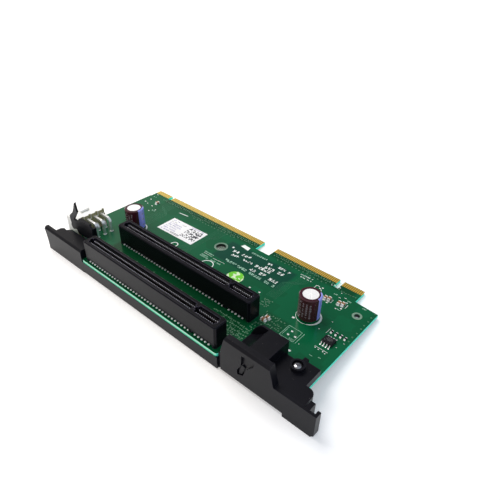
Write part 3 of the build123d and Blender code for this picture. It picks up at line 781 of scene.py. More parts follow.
def contact_places(low_x, left_out=0):
    """Where a slot's contacts stand along X, in two runs, with some left out at the end of each run."""
    first = low_x + SLOT_END
    second = first + (LONG_COUNT - 1) * CONTACT_PITCH + KEY_GAP
    return [start + i * CONTACT_PITCH for start, count in ((first, LONG_COUNT), (second, SHORT_COUNT))
            for i in range(count - left_out)]


def add_comb(place):
    """The thin walls between the contacts of one slot."""
    low, middle, high = corners_of(place + "_slot_housing")
    top = high.z - COMB_TOP_GAP
    shape = bmesh.new()
    for x in contact_places(low.x, left_out=1):
        left = x + (CONTACT_PITCH - COMB_THICKNESS) / 2
        for side in (-1, 1):
            inner, outer = middle.y + side * CHANNEL_INNER, middle.y + side * CHANNEL_OUTER
            section = [(inner, COMB_BOTTOM), (outer, COMB_BOTTOM), (outer, top), (inner, top - COMB_SLOPE)]
            add_loft(shape, *([(end, y, z) for y, z in section] for end in (left, left + COMB_THICKNESS)))
    add_piece(place + "_slot_comb", shape, comb_plastic)


def add_heads(place):
    """The rounded head on top of every contact, which is where a card first touches it."""
    low, middle, _ = corners_of(place + "_slot_housing")
    seat = contact_top / MM - HEAD_SINK
    shape = bmesh.new()
    for x in contact_places(low.x):
        for side in (-1, 1):
            add_dome(shape, x, middle.y + side * HEAD_ROW, HEAD_SIZE, seat, HEAD_RISE, 10)
    add_piece(place + "_contact_heads", shape, head_metal, 60)


for place in SLOTS:
    dress([place + "_slot_housing"], slot_plastic)
    dress([place + "_slot_contacts"], contact_shaded_and_lit)
    add_comb(place)
    add_heads(place)

# %% [markdown]
# The contacts go through the board and are soldered below. Every second tail is bent outwards and
# enters the board in the open gap under the side wall, where a small drop of solder shows round it.
# Below the board all four rows end in drops of solder with the cut wire in the middle.

# %% The slots' solder
INNER_ROW = 1.25
OUTER_ROW = 3.25
TAIL_RADIUS = 0.55
TAIL_HEIGHT = 0.46
DROP_RADIUS = 0.46
DROP_HEIGHT = 1.0
TAIL_WIRE = 0.17


def add_slot_solder(place):
    """Solder round one slot's tails, above the board and below it."""
    low, middle, _ = corners_of(place + "_slot_housing")
    above, below = bmesh.new(), bmesh.new()
    for i, x in enumerate(contact_places(low.x)):
        bent_out = i % 2 == 0
        row = OUTER_ROW if bent_out else INNER_ROW
        for y in (middle.y - row, middle.y + row):
            add_cone(below, x, y, DROP_RADIUS, BOARD_BOTTOM, -DROP_HEIGHT, TAIL_WIRE, 8)
            if bent_out:
                add_dome(above, x, y, TAIL_RADIUS, BOARD_TOP, TAIL_HEIGHT, 10)
    add_piece(place + "_slot_tail_solder", above, solder, 60)
    add_piece(place + "_slot_underside_solder", below, solder, 60)


for place in SLOTS:
    add_slot_solder(place)

# %% [markdown]
# The carrier frame is one black moulding with a fine spark-eroded texture. It is a little rougher
# than the slots. No moulded edge is sharp: a thin line along each edge is lighter, as a small rounding
# would catch the light.

# %% The frame's finish
frame_plastic = finish("frame_moulding", (0.005, 0.005, 0.008), 0.34, edge_width=0.0004, specular=0.15,
                       edge_wear_highlight_colour=(0.026, 0.026, 0.038), grain_height=0.000006, dust=0.05)
dress(["carrier_frame"], frame_plastic)

# %% [markdown]
# The screw is a black nickelled pan head with a cross recess. Its head is turned as a dome, and the
# recess is cut by a boolean with two crossed blades that narrow downwards. The cut end below the nut
# shows a few turns of thread, which are drawn as rings, since nobody can follow a helix that short.

# %% The screw
screw_steel = finish("black_nickel", (0.34, 0.34, 0.37), 0.17, metal=0.9, drift=0.15,
                     edge_wear_highlight_colour=(0.25, 0.25, 0.26), edge_width=0.0001)
screw_low, screw_middle, screw_high = corners_of("frame_screw")
HEAD_RADIUS = (screw_high.x - screw_low.x) / 2
HEAD_HEIGHT = 1.7
HEAD_RIM = 0.35
HEAD_STEPS = 9
HEAD_ROUNDNESS = 0.8
SHANK_RADIUS = 1.25
THREAD_START = 0.15
THREAD_DEPTH = 0.16
THREAD_PITCH = 0.5
THREAD_LENGTH = 2.6
RECESS_ANGLES = (25, 115)
RECESS_ARM = 0.80
RECESS_WIDTH = 0.26
RECESS_DEPTH = 0.6
RECESS_TAPER = 0.35
CLEARANCE = 0.2


def screw_profile():
    """The turned outline of the screw, from the cut end to the top of the dome."""
    core = SHANK_RADIUS - THREAD_DEPTH
    points = [(0.0, screw_low.z), (core - THREAD_DEPTH, screw_low.z)]
    start = screw_low.z + THREAD_START
    for _ in range(int(THREAD_LENGTH / THREAD_PITCH)):
        points += [(core, start), (SHANK_RADIUS, start + THREAD_PITCH / 2)]
        start += THREAD_PITCH
    seat = screw_high.z - HEAD_HEIGHT
    rim = seat + HEAD_RIM
    points += [(core, start), (core, seat), (HEAD_RADIUS, seat), (HEAD_RADIUS, rim)]
    for i in range(1, HEAD_STEPS):
        angle = math.pi / 2 * i / HEAD_STEPS
        radius = HEAD_RADIUS * math.cos(angle) ** HEAD_ROUNDNESS
        points.append((radius, rim + (screw_high.z - rim) * math.sin(angle)))
    return points + [(0.0, screw_high.z)]


def add_blade(angle):
    """One arm of the recess cutter: long at the top and short at the bottom."""
    outlines = []
    for z, reach in ((screw_high.z + CLEARANCE, 1.0), (screw_high.z - RECESS_DEPTH, RECESS_TAPER)):
        corners = [(a * RECESS_ARM * reach, b * RECESS_WIDTH / 2) for a, b in SIGNS]
        outlines.append([(*turned(screw_middle.x, screw_middle.y, *corner, angle), z) for corner in corners])
    shape = bmesh.new()
    add_loft(shape, *outlines)
    return add_object("recess_blade", mesh_from("recess_blade", shape))


def cut_away(piece, cutter):
    """Cuts an object out of a piece, keeps the result as the piece's mesh and removes the cutter."""
    modifier = piece.modifiers.new("recess", "BOOLEAN")
    modifier.operation = "DIFFERENCE"
    modifier.solver = "EXACT"
    modifier.object = cutter
    bpy.context.view_layer.update()
    result = bpy.data.meshes.new_from_object(piece.evaluated_get(bpy.context.evaluated_depsgraph_get()))
    piece.modifiers.clear()
    piece.data = result
    bpy.data.objects.remove(cutter)


def add_screw():
    """The domed screw with its cross recess."""
    shape = bmesh.new()
    add_lathe(shape, screw_middle.x, screw_middle.y, screw_profile(), 40)
    screw = add_piece("domed_screw", shape, screw_steel, 40)
    for angle in RECESS_ANGLES:
        cut_away(screw, add_blade(math.radians(angle)))
    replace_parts(screw, "frame_screw")


add_screw()
dress(["frame_nut"], screw_steel)

# %% [markdown]
# The power header is moulded in nearly white nylon. Its back face lies in shade, which is painted on it
# as a khaki brown: a mask of the faces that look back, below the flat top, holds the painted shade. Its
# eight pins are square tinned wire. They are soldered on both faces of the board.

# %% The power header
SHADE_TOP_GAP = 0.0014
BACK_FACE_SHADE = (0.42, 0.37, 0.19, 1.0)
header_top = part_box("power_connector_housing")[1].z


def back_face_shade_mask(tree):
    """1 on the header's back face, up to its flat top, where the painted shade goes."""
    above = height_mask(tree, header_top - SHADE_TOP_GAP, header_top - SHADE_TOP_GAP / 2)
    return math_node(tree, "MULTIPLY", facing_mask(tree, "X"), math_node(tree, "SUBTRACT", 1.0, above))


# The khaki brown on the header's back is a painted shade.
header_nylon = finish("header_nylon", (0.99, 0.98, 0.94), 0.36, drift=0.03, edge_wear_highlight_colour=(0.97, 0.96, 0.88),
                      grain_height=0.000003, second=(back_face_shade_mask, BACK_FACE_SHADE))
dress(["power_connector_housing"], header_nylon)
dress(["power_connector_pins"], tin)
HEADER_BACK = corners_of("power_connector_housing")[2].x
HEADER_CENTRE = corners_of("power_connector_pins")[1].y
HEADER_PITCH = 4.2
HEADER_COLUMNS = 4
FOOT_REACHES = (2.3, 7.8)
FOOT_RADIUS = 0.95
FOOT_HEIGHT = 0.45
JOINT_HEIGHT = 1.2
JOINT_WIRE = 0.45


def header_feet():
    """Where the header's pins enter the board."""
    offsets = [HEADER_PITCH * (i - (HEADER_COLUMNS - 1) / 2) for i in range(HEADER_COLUMNS)]
    return [(HEADER_BACK + reach, HEADER_CENTRE + offset) for reach in FOOT_REACHES for offset in offsets]


def add_joints(name, places, replaced, above):
    """Solder cones below the board and, where asked, low collars above it where the pins go in."""
    shape = bmesh.new()
    for x, y in places:
        add_cone(shape, x, y, FOOT_RADIUS, BOARD_BOTTOM, -JOINT_HEIGHT, JOINT_WIRE, 24)
        if above:
            add_dome(shape, x, y, FOOT_RADIUS, BOARD_TOP, FOOT_HEIGHT, 20)
    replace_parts(add_piece(name, shape, solder, 60), replaced)


add_joints("header_joints", header_feet(), "power_solder_joints", above=True)

# %% [markdown]
# An electrolytic capacitor is an aluminium can in a shrunk plastic sleeve. The sleeve is wine brown
# and glossy, with a lavender stripe on the negative side and small pale print. The can's top is
# pressed with a cross, so that it opens there if the capacitor overheats. The print is a thin film on
# the sleeve, so it stays crisp at any distance.

# %% The capacitors' finishes
SIDES = ("left", "right")
sleeve_film = finish("sleeve_film", (0.046, 0.008, 0.015), 0.14, drift=0.2, edge_wear_highlight_colour=(0.13, 0.06, 0.07),
                     edge_width=0.0003, grain_scale=1200.0, grain_height=0.000006)
stripe_ink = finish("stripe_ink", (0.27, 0.30, 0.84), 0.22, drift=0.05, grain_scale=1200.0)
pale_ink = finish("pale_ink", (0.20, 0.16, 0.19), 0.3, drift=0.2)
bung_rubber = finish("bung_rubber", (0.02, 0.02, 0.02), 0.6)
can_aluminium = finish("can_aluminium", (0.97, 0.97, 0.98), 0.40, metal=0.1, drift=0.03,
                       grain_scale=5000.0, grain_height=0.000002)
dress([side + "_capacitor_sleeve" for side in SIDES], sleeve_film)
dress([side + "_capacitor_bung" for side in SIDES], bung_rubber)

# %% [markdown]
# The pressed top is a disc of rings and spokes. Each of its points sinks by how near it lies to one of
# the two crossed lines, which gives a groove with soft sides without any cutting.

# %% The cans with their pressed tops
SLEEVE_SHOULDER = 0.4
CAN_CHAMFER = 0.3
SCORE_ANGLE = math.radians(38)
SCORE_REACH = 2.9
SCORE_WIDTH = 0.16
SCORE_DEPTH = 0.14
TOP_RINGS = 30
TOP_SPOKES = 144
TOUCH = 0.001


def score_depth(x, y):
    """How far the can's top is pressed in at a point measured from its centre."""
    if math.hypot(x, y) > SCORE_REACH:
        return 0.0
    angles = (SCORE_ANGLE, SCORE_ANGLE + math.pi / 2)
    near = min(abs(x * math.sin(angle) - y * math.cos(angle)) for angle in angles) / SCORE_WIDTH
    return SCORE_DEPTH * max(0.0, 1.0 - near * near)


def add_can(side):
    """One can: plain wall, sloped shoulder and a top pressed with a cross."""
    low, middle, high = corners_of(side + "_capacitor_can")
    radius = (high.x - low.x) / 2
    top_radius = radius - SLEEVE_SHOULDER
    profile = [(0.0, low.z), (radius - CAN_CHAMFER, low.z), (radius, low.z + CAN_CHAMFER),
               (radius, high.z - SLEEVE_SHOULDER)]
    profile += [(top_radius * (1 - step / TOP_RINGS), high.z) for step in range(TOP_RINGS)]
    shape = bmesh.new()
    add_lathe(shape, middle.x, middle.y, profile + [(0.0, high.z)], TOP_SPOKES)
    for point in shape.verts:
        if point.co.z > high.z - TOUCH:
            point.co.z -= score_depth(point.co.x - middle.x, point.co.y - middle.y)
    can = add_piece(side + "_can_pressed", shape, can_aluminium, 50)
    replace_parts(can, side + "_capacitor_can")


print("cross pressed in by", SCORE_DEPTH, "mm")

# %% [markdown]
# The stripe is a film that climbs the sleeve's wall and turns in over its shoulder. Its bars and the
# small print lie on it and beside it: rows of plain blocks of random length, which say nothing.

# %% The sleeves' print and the capacitors' joints
SLEEVE_RADIUS = 5.0
SLEEVE_LOW = 1.2
FILM = 0.012
STRIPE_START = math.radians(-12)
STRIPE_END = math.radians(54)
BAR_HEIGHTS = (3.4, 6.6, 9.8)
BAR_REACH = 0.16
BAR_RISE = 0.25
PRINT_COLUMNS = (-58, -76, -94, -112)
PRINT_LOW = 2.6
PRINT_HIGH = 10.6
BLOCK_LENGTHS = (0.35, 0.9)
BLOCK_ANGLES = (6, 10)
BLOCK_GAPS = (0.3, 0.3, 0.9)
CAPACITOR_PITCH = 5.0


def add_block(shape, x, y, radius, low, high, start, end, steps):
    """A film over a range of heights and angles on a straight wall."""
    add_film(shape, x, y, [(radius, low, 0.0), (radius, high, 0.0)], start, end, steps, FILM)


def add_sleeve_print(side):
    """The lavender stripe with its bars, and small print on the brown part."""
    x, y, _ = corners_of(side + "_capacitor_can")[1]
    top = corners_of(side + "_capacitor_sleeve")[2].z
    wall = [(SLEEVE_RADIUS, SLEEVE_LOW, 0.0), (SLEEVE_RADIUS, top - SLEEVE_SHOULDER, 0.4),
            (SLEEVE_RADIUS - SLEEVE_SHOULDER, top, 1.0), (SLEEVE_RADIUS - 2 * SLEEVE_SHOULDER, top, 1.0)]
    stripe = bmesh.new()
    add_film(stripe, x, y, wall, STRIPE_START, STRIPE_END, 18, FILM)
    add_piece(side + "_capacitor_stripe", stripe, stripe_ink)
    marks = bmesh.new()
    chooser = random.Random(side)
    middle = (STRIPE_START + STRIPE_END) / 2
    reach = (middle - BAR_REACH, middle + BAR_REACH)
    for height in BAR_HEIGHTS:
        add_block(marks, x, y, SLEEVE_RADIUS + FILM, height - BAR_RISE, height + BAR_RISE, *reach, 5)
    for start in map(math.radians, PRINT_COLUMNS):
        height = PRINT_LOW + 0.5 * chooser.random()
        while height < PRINT_HIGH:
            length = chooser.uniform(*BLOCK_LENGTHS)
            width = math.radians(chooser.uniform(*BLOCK_ANGLES))
            add_block(marks, x, y, SLEEVE_RADIUS, height, height + length, start, start + width, 3)
            height += length + chooser.choice(BLOCK_GAPS)
    add_piece(side + "_capacitor_print", marks, pale_ink)


for side in SIDES:
    add_can(side)
    add_sleeve_print(side)
capacitor_centres = [corners_of(side + "_capacitor_sleeve")[1][:2] for side in SIDES]
capacitor_feet = [(x + sign * CAPACITOR_PITCH / 2, y) for x, y in capacitor_centres for sign in (-1, 1)]
add_joints("capacitor_joints", capacitor_feet, "capacitor_solder_joints", above=False)

# %% [markdown]
# The ceramic capacitors are fired blocks with metal caps on both ends. A small wedge of solder climbs
# each cap. The chip is black epoxy, and its leads are tinned.

# %% Ceramics and the chip
ceramic_fired = finish("ceramic_fired", (0.33, 0.15, 0.06), 0.42, drift=0.2, grain_scale=5000.0)
chip_epoxy = finish("chip_epoxy", (0.009, 0.009, 0.011), 0.46, edge_wear_highlight_colour=(0.04, 0.04, 0.045),
                    specular=0.15, dust=0.08)
dress(["ceramic_capacitor_bodies"], ceramic_fired, bevel=0.00006)
dress(["ceramic_capacitor_terminals"], solder, bevel=0.00008)
dress(["chip_body"], chip_epoxy)
dress(["chip_leads"], tin)
CERAMIC_LENGTH = 2.1
CERAMIC_WIDTH = 1.35
CERAMICS_ALONG_Y = [(-18.0, 56.55), (104.1, 52.0), (105.9, 52.5), (110.7, 53.0), (112.5, 53.5)]
CERAMICS_ALONG_X = [(92.3, 22.2), (92.9, 24.2)]
WEDGE_REACH = 0.45
WEDGE_HEIGHT = 0.75
WEDGE_WAIST = (0.45, 0.35)


def add_wedge(shape, x, y, angle, width, reach, height):
    """A fillet of solder that falls away from a metal end along a direction."""
    waist = (reach * WEDGE_WAIST[0], height * WEDGE_WAIST[1])
    section = ((0.0, 0.0), (reach, 0.0), waist, (0.0, height))
    add_loft(shape, *([(*turned(x, y, along, across, angle), BOARD_TOP + z) for along, z in section]
                      for across in (-width / 2, width / 2)))


def add_ceramic_solder():
    """Solder at both ends of every ceramic capacitor."""
    shape = bmesh.new()
    for places, angle in ((CERAMICS_ALONG_Y, math.pi / 2), (CERAMICS_ALONG_X, 0.0)):
        for x, y in places:
            for way in (angle, angle + math.pi):
                end = turned(x, y, CERAMIC_LENGTH / 2, 0.0, way)
                add_wedge(shape, *end, way, CERAMIC_WIDTH * 0.96, WEDGE_REACH, WEDGE_HEIGHT)
    add_piece("ceramic_solder", shape, solder, 70)


add_ceramic_solder()

# %% [markdown]
# Print on a board is an epoxy ink, a few hundredths of a millimetre thick. It is drawn here as very
# thin bars and rings, in white and in a fainter green. Where the real board has words, there are rows
# of signs of the same size, each a few squares of a small grid, which say nothing. A seeded random
# source picks the squares. Each row and line is given by its two ends and then its height or width.

# %% Ink and its rows
INK_HEIGHT = 0.025
INK_SINK = 0.01
SIGN_COLUMNS = 3
SIGN_ROWS = 4
SIGN_INK = 0.62
SIGN_FILL = 0.96
WORD_GAP = 0.10
white_ink = finish("board_ink", (0.82, 0.88, 0.85), 0.45, drift=0.12, grain_scale=3000.0)
faint_ink = finish("faint_ink", (0.30, 0.52, 0.40), 0.4, drift=0.2, grain_scale=3000.0)
BRIGHT_ROWS = [
    (48.2, 51.5, 60.8, 52.7, 1.9), (64.8, 49.4, 75.7, 49.9, 1.9), (76.3, 45.7, 81.7, 45.9, 1.9),
    (64.5, 45.4, 73.8, 46.5, 1.9), (49.8, 48.4, 54.9, 49.4, 1.5), (57.0, 49.1, 63.0, 49.5, 1.5),
    (68.9, 51.9, 81.5, 52.8, 1.9), (74.2, 56.0, 81.4, 55.9, 1.5), (68.4, 54.9, 72.1, 55.4, 1.3),
    (85.4, 59.0, 92.6, 59.5, 0.7), (86.3, 57.5, 93.1, 57.6, 0.7),
]
FAINT_ROWS = [
    (50.1, 43.3, 82.1, 42.8, 1.6), (55.3, 56.7, 66.3, 56.9, 1.1), (38.0, 38.6, 43.0, 38.6, 0.8),
    (38.0, 37.4, 44.0, 37.4, 0.8), (45.2, 37.8, 52.0, 38.2, 0.8), (37.6, 41.4, 44.4, 41.4, 0.7),
    (-14.6, 49.6, -11.9, 49.8, 0.8), (-26.2, 60.8, -23.6, 60.9, 0.7), (105.0, 57.6, 107.6, 57.8, 0.7),
    (112.4, 57.3, 115.0, 57.5, 0.7), (111.6, 49.5, 114.2, 49.7, 0.7), (120.0, 57.5, 122.4, 57.6, 0.7),
]
LINES = [
    (-0.4, 58.2, 6.0, 58.9, 0.5), (38.0, 40.2, 43.9, 40.2, 0.16), (45.2, 39.6, 52.5, 40.2, 0.16),
    (-26.0, 53.6, -25.0, 53.6, 0.6), (-25.5, 57.5, -24.6, 57.5, 0.6), (-23.0, 52.9, -22.3, 52.9, 0.5),
    (-18.7, 52.7, -17.8, 52.7, 0.5), (-15.9, 47.9, -15.1, 47.9, 0.5), (-13.7, 51.0, -12.9, 51.0, 0.5),
    (-26.9, 64.0, -26.0, 64.0, 0.5), (108.2, 56.9, 109.2, 56.9, 0.3), (110.4, 58.3, 111.4, 58.3, 0.3),
    (95.9, 55.1, 95.9, 57.3, 0.25), (95.9, 57.3, 97.6, 57.3, 0.25), (98.9, 56.1, 99.9, 55.1, 0.3),
    (101.8, 63.0, 102.8, 63.0, 0.3), (104.4, 63.0, 105.4, 63.0, 0.3), (114.3, 52.2, 114.3, 54.8, 0.2),
    (107.5, 51.0, 107.5, 53.4, 0.2), (102.3, 50.6, 102.3, 53.2, 0.2), (116.9, 24.9, 123.0, 24.9, 0.15),
    (116.4, 33.9, 116.4, 37.4, 0.15),
]
WHITE_PATCH = [(53.7, 56.4), (53.2, 59.0), (49.0, 59.4), (48.2, 57.2)]
WHITE_SQUARE = (46.2, 53.6, 1.1, 1.1)
RINGS = [(21.6, 34.7, 1.6, 2.1), (46.4, 33.7, 3.1, 3.6)]
CAPACITOR_RING = (SLEEVE_RADIUS + 0.35, SLEEVE_RADIUS + 0.5)
CRESCENT_INNER = SLEEVE_RADIUS + 0.2
CRESCENT_OUTER = SLEEVE_RADIUS + 0.5
CRESCENT_BULGE = 0.6
CRESCENT_START = -64
CRESCENT_SPAN = 142
CRESCENT_STEPS = 24
CRESCENT_HEIGHT = 0.03


def on_top(height=INK_HEIGHT):
    """The lowest and highest height of a thin layer on the board's top."""
    return BOARD_TOP - INK_SINK, BOARD_TOP + height


def add_signs(shape, x0, y0, x1, y1, height, chooser, layer):
    """A row of broken signs between two points, like print that can't be read."""
    angle = math.atan2(y1 - y0, x1 - x0)
    cell = height / SIGN_ROWS
    pitch = cell * (SIGN_COLUMNS + 1)
    for i in range(int((math.hypot(x1 - x0, y1 - y0) + cell) / pitch)):
        if chooser.random() < WORD_GAP:
            continue
        for column in range(SIGN_COLUMNS):
            for row in range(SIGN_ROWS):
                if chooser.random() < SIGN_INK:
                    shift = i * pitch + (column + 0.5) * cell
                    x, y = turned(x0, y0, shift, (row - (SIGN_ROWS - 1) / 2) * cell, angle)
                    add_bar(shape, x, y, cell * SIGN_FILL, cell * SIGN_FILL, *layer, angle)


def crescent(x, y):
    """A crescent along the right side of a capacitor, widest in its middle."""
    shares = [i / CRESCENT_STEPS for i in range(CRESCENT_STEPS + 1)]
    points = [(share, CRESCENT_OUTER + CRESCENT_BULGE * math.sin(math.pi * share)) for share in shares]
    points += [(share, CRESCENT_INNER) for share in reversed(shares)]
    return [turned(x, y, radius, 0.0, math.radians(CRESCENT_START + CRESCENT_SPAN * share))
            for share, radius in points]


def add_print():
    """Everything printed in white and in faint ink on the board's top."""
    chooser = random.Random(11)
    bright = bmesh.new()
    for row in BRIGHT_ROWS:
        add_signs(bright, *row, chooser, on_top())
    for *ends, width in LINES:
        add_line(bright, ends, width, *on_top())
    for x, y, inner, outer in RINGS:
        add_ring(bright, x, y, inner, outer, *on_top())
    for x, y in capacitor_centres:
        add_ring(bright, x, y, *CAPACITOR_RING, *on_top(), 64)
        add_prism(bright, crescent(x, y), *on_top(CRESCENT_HEIGHT))
    add_bar(bright, *WHITE_SQUARE, *on_top())
    add_prism(bright, WHITE_PATCH, *on_top())
    add_piece("board_print", bright, white_ink)
    faint = bmesh.new()
    for row in FAINT_ROWS:
        add_signs(faint, *row, chooser, on_top())
    add_piece("board_faint_print", faint, faint_ink)


add_print()

# %% [markdown]
# A footprint is a printed outline with bare tinned pads inside, left for a part that this card doesn't
# carry. There is a large one behind the raised box, and smaller ones round it. The ceramic capacitors
# have a short line on each side.

# %% Empty footprints and pads
FOOTPRINT_LINE = 0.16
FOOTPRINT_LINES = [
    (102.4, 20.35, 109.2, 20.35), (109.2, 20.35, 109.2, 27.25), (109.2, 27.25, 102.4, 27.25),
    (102.4, 27.25, 102.4, 20.35), (106.6, 20.9, 108.8, 20.9), (106.6, 21.5, 108.8, 21.5),
    (110.3, 20.4, 110.3, 27.2), (103.1, 21.2, 103.1, 26.4), (118.0, 19.4, 119.4, 19.4),
    (121.4, 20.6, 122.6, 20.6),
]
CERAMIC_LINE = 0.12
CERAMIC_LINE_HALF = 1.5
CERAMIC_LINE_AWAY = (1.0, 0.95)
PADS = [
    (108.3, 23.35, 0.9), (105.2, 22.65, 0.9), (105.4, 25.15, 0.9), (111.0, 15.85, 1.1), (103.9, 35.35, 0.5),
    (108.8, 39.95, 0.5), (73.7, 34.8, 0.9), (79.3, 35.1, 0.9), (100.8, 32.2, 1.1), (98.2, 56.4, 0.8),
    (99.2, 57.4, 0.8), (107.7, 60.2, 0.5), (105.1, 63.1, 0.5), (101.0, 62.3, 0.5), (106.1, 50.1, 0.8),
    (113.1, 50.9, 0.8), (111.2, 49.4, 0.6), (113.1, 55.9, 0.7), (117.6, 24.2, 0.5), (119.2, 24.1, 0.5),
    (121.2, 24.2, 0.5), (122.4, 23.8, 0.5), (124.0, 29.7, 0.4), (125.3, 33.5, 0.4), (112.9, 33.9, 0.5),
    (114.9, 41.2, 0.4), (111.7, 21.2, 0.4),
]
PAD_HEIGHT = 0.03
PAD_TURN = 0.05


def add_footprints():
    """Outlines and pads of the parts that the card doesn't carry."""
    outlines = bmesh.new()
    for ends in FOOTPRINT_LINES:
        add_line(outlines, ends, FOOTPRINT_LINE, *on_top())
    for way in (-1, 1):
        away_x, away_y = (way * away for away in CERAMIC_LINE_AWAY)
        for x, y in CERAMICS_ALONG_Y:
            ends = (x + away_x, y - CERAMIC_LINE_HALF, x + away_x, y + CERAMIC_LINE_HALF)
            add_line(outlines, ends, CERAMIC_LINE, *on_top())
        for x, y in CERAMICS_ALONG_X:
            ends = (x - CERAMIC_LINE_HALF, y + away_y, x + CERAMIC_LINE_HALF, y + away_y)
            add_line(outlines, ends, CERAMIC_LINE, *on_top())
    add_piece("footprint_outlines", outlines, faint_ink)
    pads = bmesh.new()
    for x, y, size in PADS:
        add_bar(pads, x, y, size, size * 0.8, *on_top(PAD_HEIGHT), PAD_TURN)
    add_piece("bare_pads", pads, solder)


add_footprints()

# %% [markdown]
# A via is a plated hole that joins two copper layers. Under resist it shows as a small dimple in a
# paler ring, and the shade in the dimple is painted as a nearly black dot. They stand in rows behind the
# gold edge and along the right side, and in dense fields near the right ends of the slots, with short
# pale dashes of track between them. Each row is given by its two ends and the pitch.

# %% Vias
via_ring = finish("via_ring", (0.10, 0.24, 0.14), 0.3, drift=0.3)
# The holes' nearly black colour is a painted shade.
hole_painted_shade = finish("hole_painted_shade", (0.002, 0.010, 0.006), 0.5, drift=0.2)
VIA_RADIUS = 0.34
VIA_HEIGHT = 0.02
VIA_HOLE = VIA_RADIUS * 0.55
VIA_HOLE_HEIGHT = 0.004
STRAY_X, STRAY_Y = 0.2, 0.35
VIA_ROWS = [
    (-18.9, 61.9, 5.8, 62.6, 1.1), (7.5, 61.2, 23.8, 62.6, 1.2), (26.0, 62.0, 54.0, 62.6, 1.3),
    (66.5, 62.6, 102.8, 63.3, 1.2), (105.5, 61.4, 114.0, 61.6, 1.1), (10.0, 60.1, 40.0, 60.6, 2.3),
    (70.0, 60.9, 98.0, 61.4, 2.1), (126.0, 36.0, 126.0, 58.0, 2.9), (0.0, 12.0, 84.0, 12.0, 6.3),
    (3.0, 9.4, 86.0, 9.4, 5.1), (84.0, 29.6, 87.8, 29.6, 0.8), (84.0, 31.0, 87.8, 31.0, 0.8),
    (84.4, 32.4, 87.4, 32.4, 0.8), (84.0, 33.8, 87.8, 33.8, 0.8), (-17.0, 63.4, 55.0, 64.0, 1.5),
    (66.5, 64.0, 102.0, 64.2, 1.6), (72.0, 13.6, 92.0, 13.6, 1.0), (76.0, 11.6, 92.6, 11.6, 1.1),
    (80.0, 9.8, 92.8, 9.8, 1.0), (83.0, 7.8, 92.6, 7.8, 1.0), (84.5, 5.8, 92.4, 5.8, 1.1),
    (90.4, 15.6, 101.6, 15.6, 1.2), (90.6, 17.4, 101.2, 17.4, 1.3), (90.8, 19.4, 100.6, 19.4, 1.2),
    (95.4, 21.6, 101.0, 21.6, 1.1), (95.6, 23.6, 100.6, 23.6, 1.2), (91.0, 26.6, 100.0, 26.6, 1.4),
]
DASH_AREAS = [((78.0, 93.0), (5.0, 14.5), 34), ((90.0, 101.5), (15.0, 28.0), 30)]
DASH_ANGLES = (0.0, 0.0, math.pi / 2, math.pi / 4)
DASH_LENGTHS = (0.5, 1.3)
DASH_WIDTH = 0.2


def add_vias():
    """Rows of small rings with holes painted nearly black as shade, each a little off its line."""
    chooser = random.Random(5)
    rings, holes = bmesh.new(), bmesh.new()
    for *ends, pitch in VIA_ROWS:
        start, end = Vector(ends[:2]), Vector(ends[2:])
        count = max(1, int((end - start).length / pitch))
        for i in range(count + 1):
            x, y = start + (end - start) * (i / count)
            x += chooser.uniform(-STRAY_X, STRAY_X)
            y += chooser.uniform(-STRAY_Y, STRAY_Y)
            hole = [turned(x, y, VIA_HOLE, 0.0, math.pi * k / 5) for k in range(10)]
            add_ring(rings, x, y, VIA_HOLE, VIA_RADIUS, *on_top(VIA_HEIGHT), 12)
            add_prism(holes, hole, *on_top(VIA_HOLE_HEIGHT))
    add_piece("via_rings", rings, via_ring)
    add_piece("via_shade_dots", holes, hole_painted_shade)


def add_dashes():
    """Short pale dashes where the vias are dense."""
    chooser = random.Random(9)
    shape = bmesh.new()
    for across, along, count in DASH_AREAS:
        for _ in range(count):
            angle = chooser.choice(DASH_ANGLES)
            x, y = chooser.uniform(*across), chooser.uniform(*along)
            add_bar(shape, x, y, chooser.uniform(*DASH_LENGTHS), DASH_WIDTH, *on_top(), angle)
    add_piece("route_dashes", shape, via_ring)


add_vias()
add_dashes()

# %% [markdown]
# Copper tracks under the resist stand up a little, and look paler. They run in bundles from the gold
# contacts to the slots. Each track leaves its contact straight, jogs at 45 degrees, and goes on
# straight, with all tracks of a bundle parallel.

# %% Tracks
track_resist = finish("track_resist", (0.012, 0.132, 0.060), 0.26, drift=0.15, grain_scale=2500.0,
                      edge_wear_highlight_colour=(0.02, 0.15, 0.07), edge_width=0.00005)
TRACK_WIDTH = 0.22
TRACK_HEIGHT = 0.018
TRACK_START = 64.6
TRACK_STAGGER = 0.4


def add_track(shape, points, low, high):
    """A flat ribbon along a few points, with mitred bends."""
    points = [Vector(point) for point in points]
    sections = []
    for before, here, after in zip(points[:1] + points, points, points[1:] + points[-1:]):
        ways = [way.normalized() for way in (here - before, after - here) if way.length > 0]
        way = sum(ways, Vector((0.0, 0.0))).normalized()
        mitre = TRACK_WIDTH / 2 / max(0.5, way.dot(ways[0]))
        right, left = (here + Vector((-way.y, way.x)) * mitre * sign for sign in (-1, 1))
        sections.append([(*right, low), (*right, high), (*left, high), (*left, low)])
    add_loft(shape, *sections)


def add_tracks(name, low, high, bundles):
    """Bundles of tracks, each with its first place, count, pitch, jog, and where the jog and it end."""
    shape = bmesh.new()
    for first, count, pitch, jog, jog_depth, end_depth in bundles:
        for i in range(count):
            x = first + i * pitch
            turn = jog_depth - abs(jog) - (i if jog > 0 else count - i) * pitch * TRACK_STAGGER
            points = [(x, TRACK_START), (x, turn + abs(jog)), (x + jog, turn), (x + jog, end_depth)]
            add_track(shape, points, low, high)
    add_piece(name, shape, track_resist)


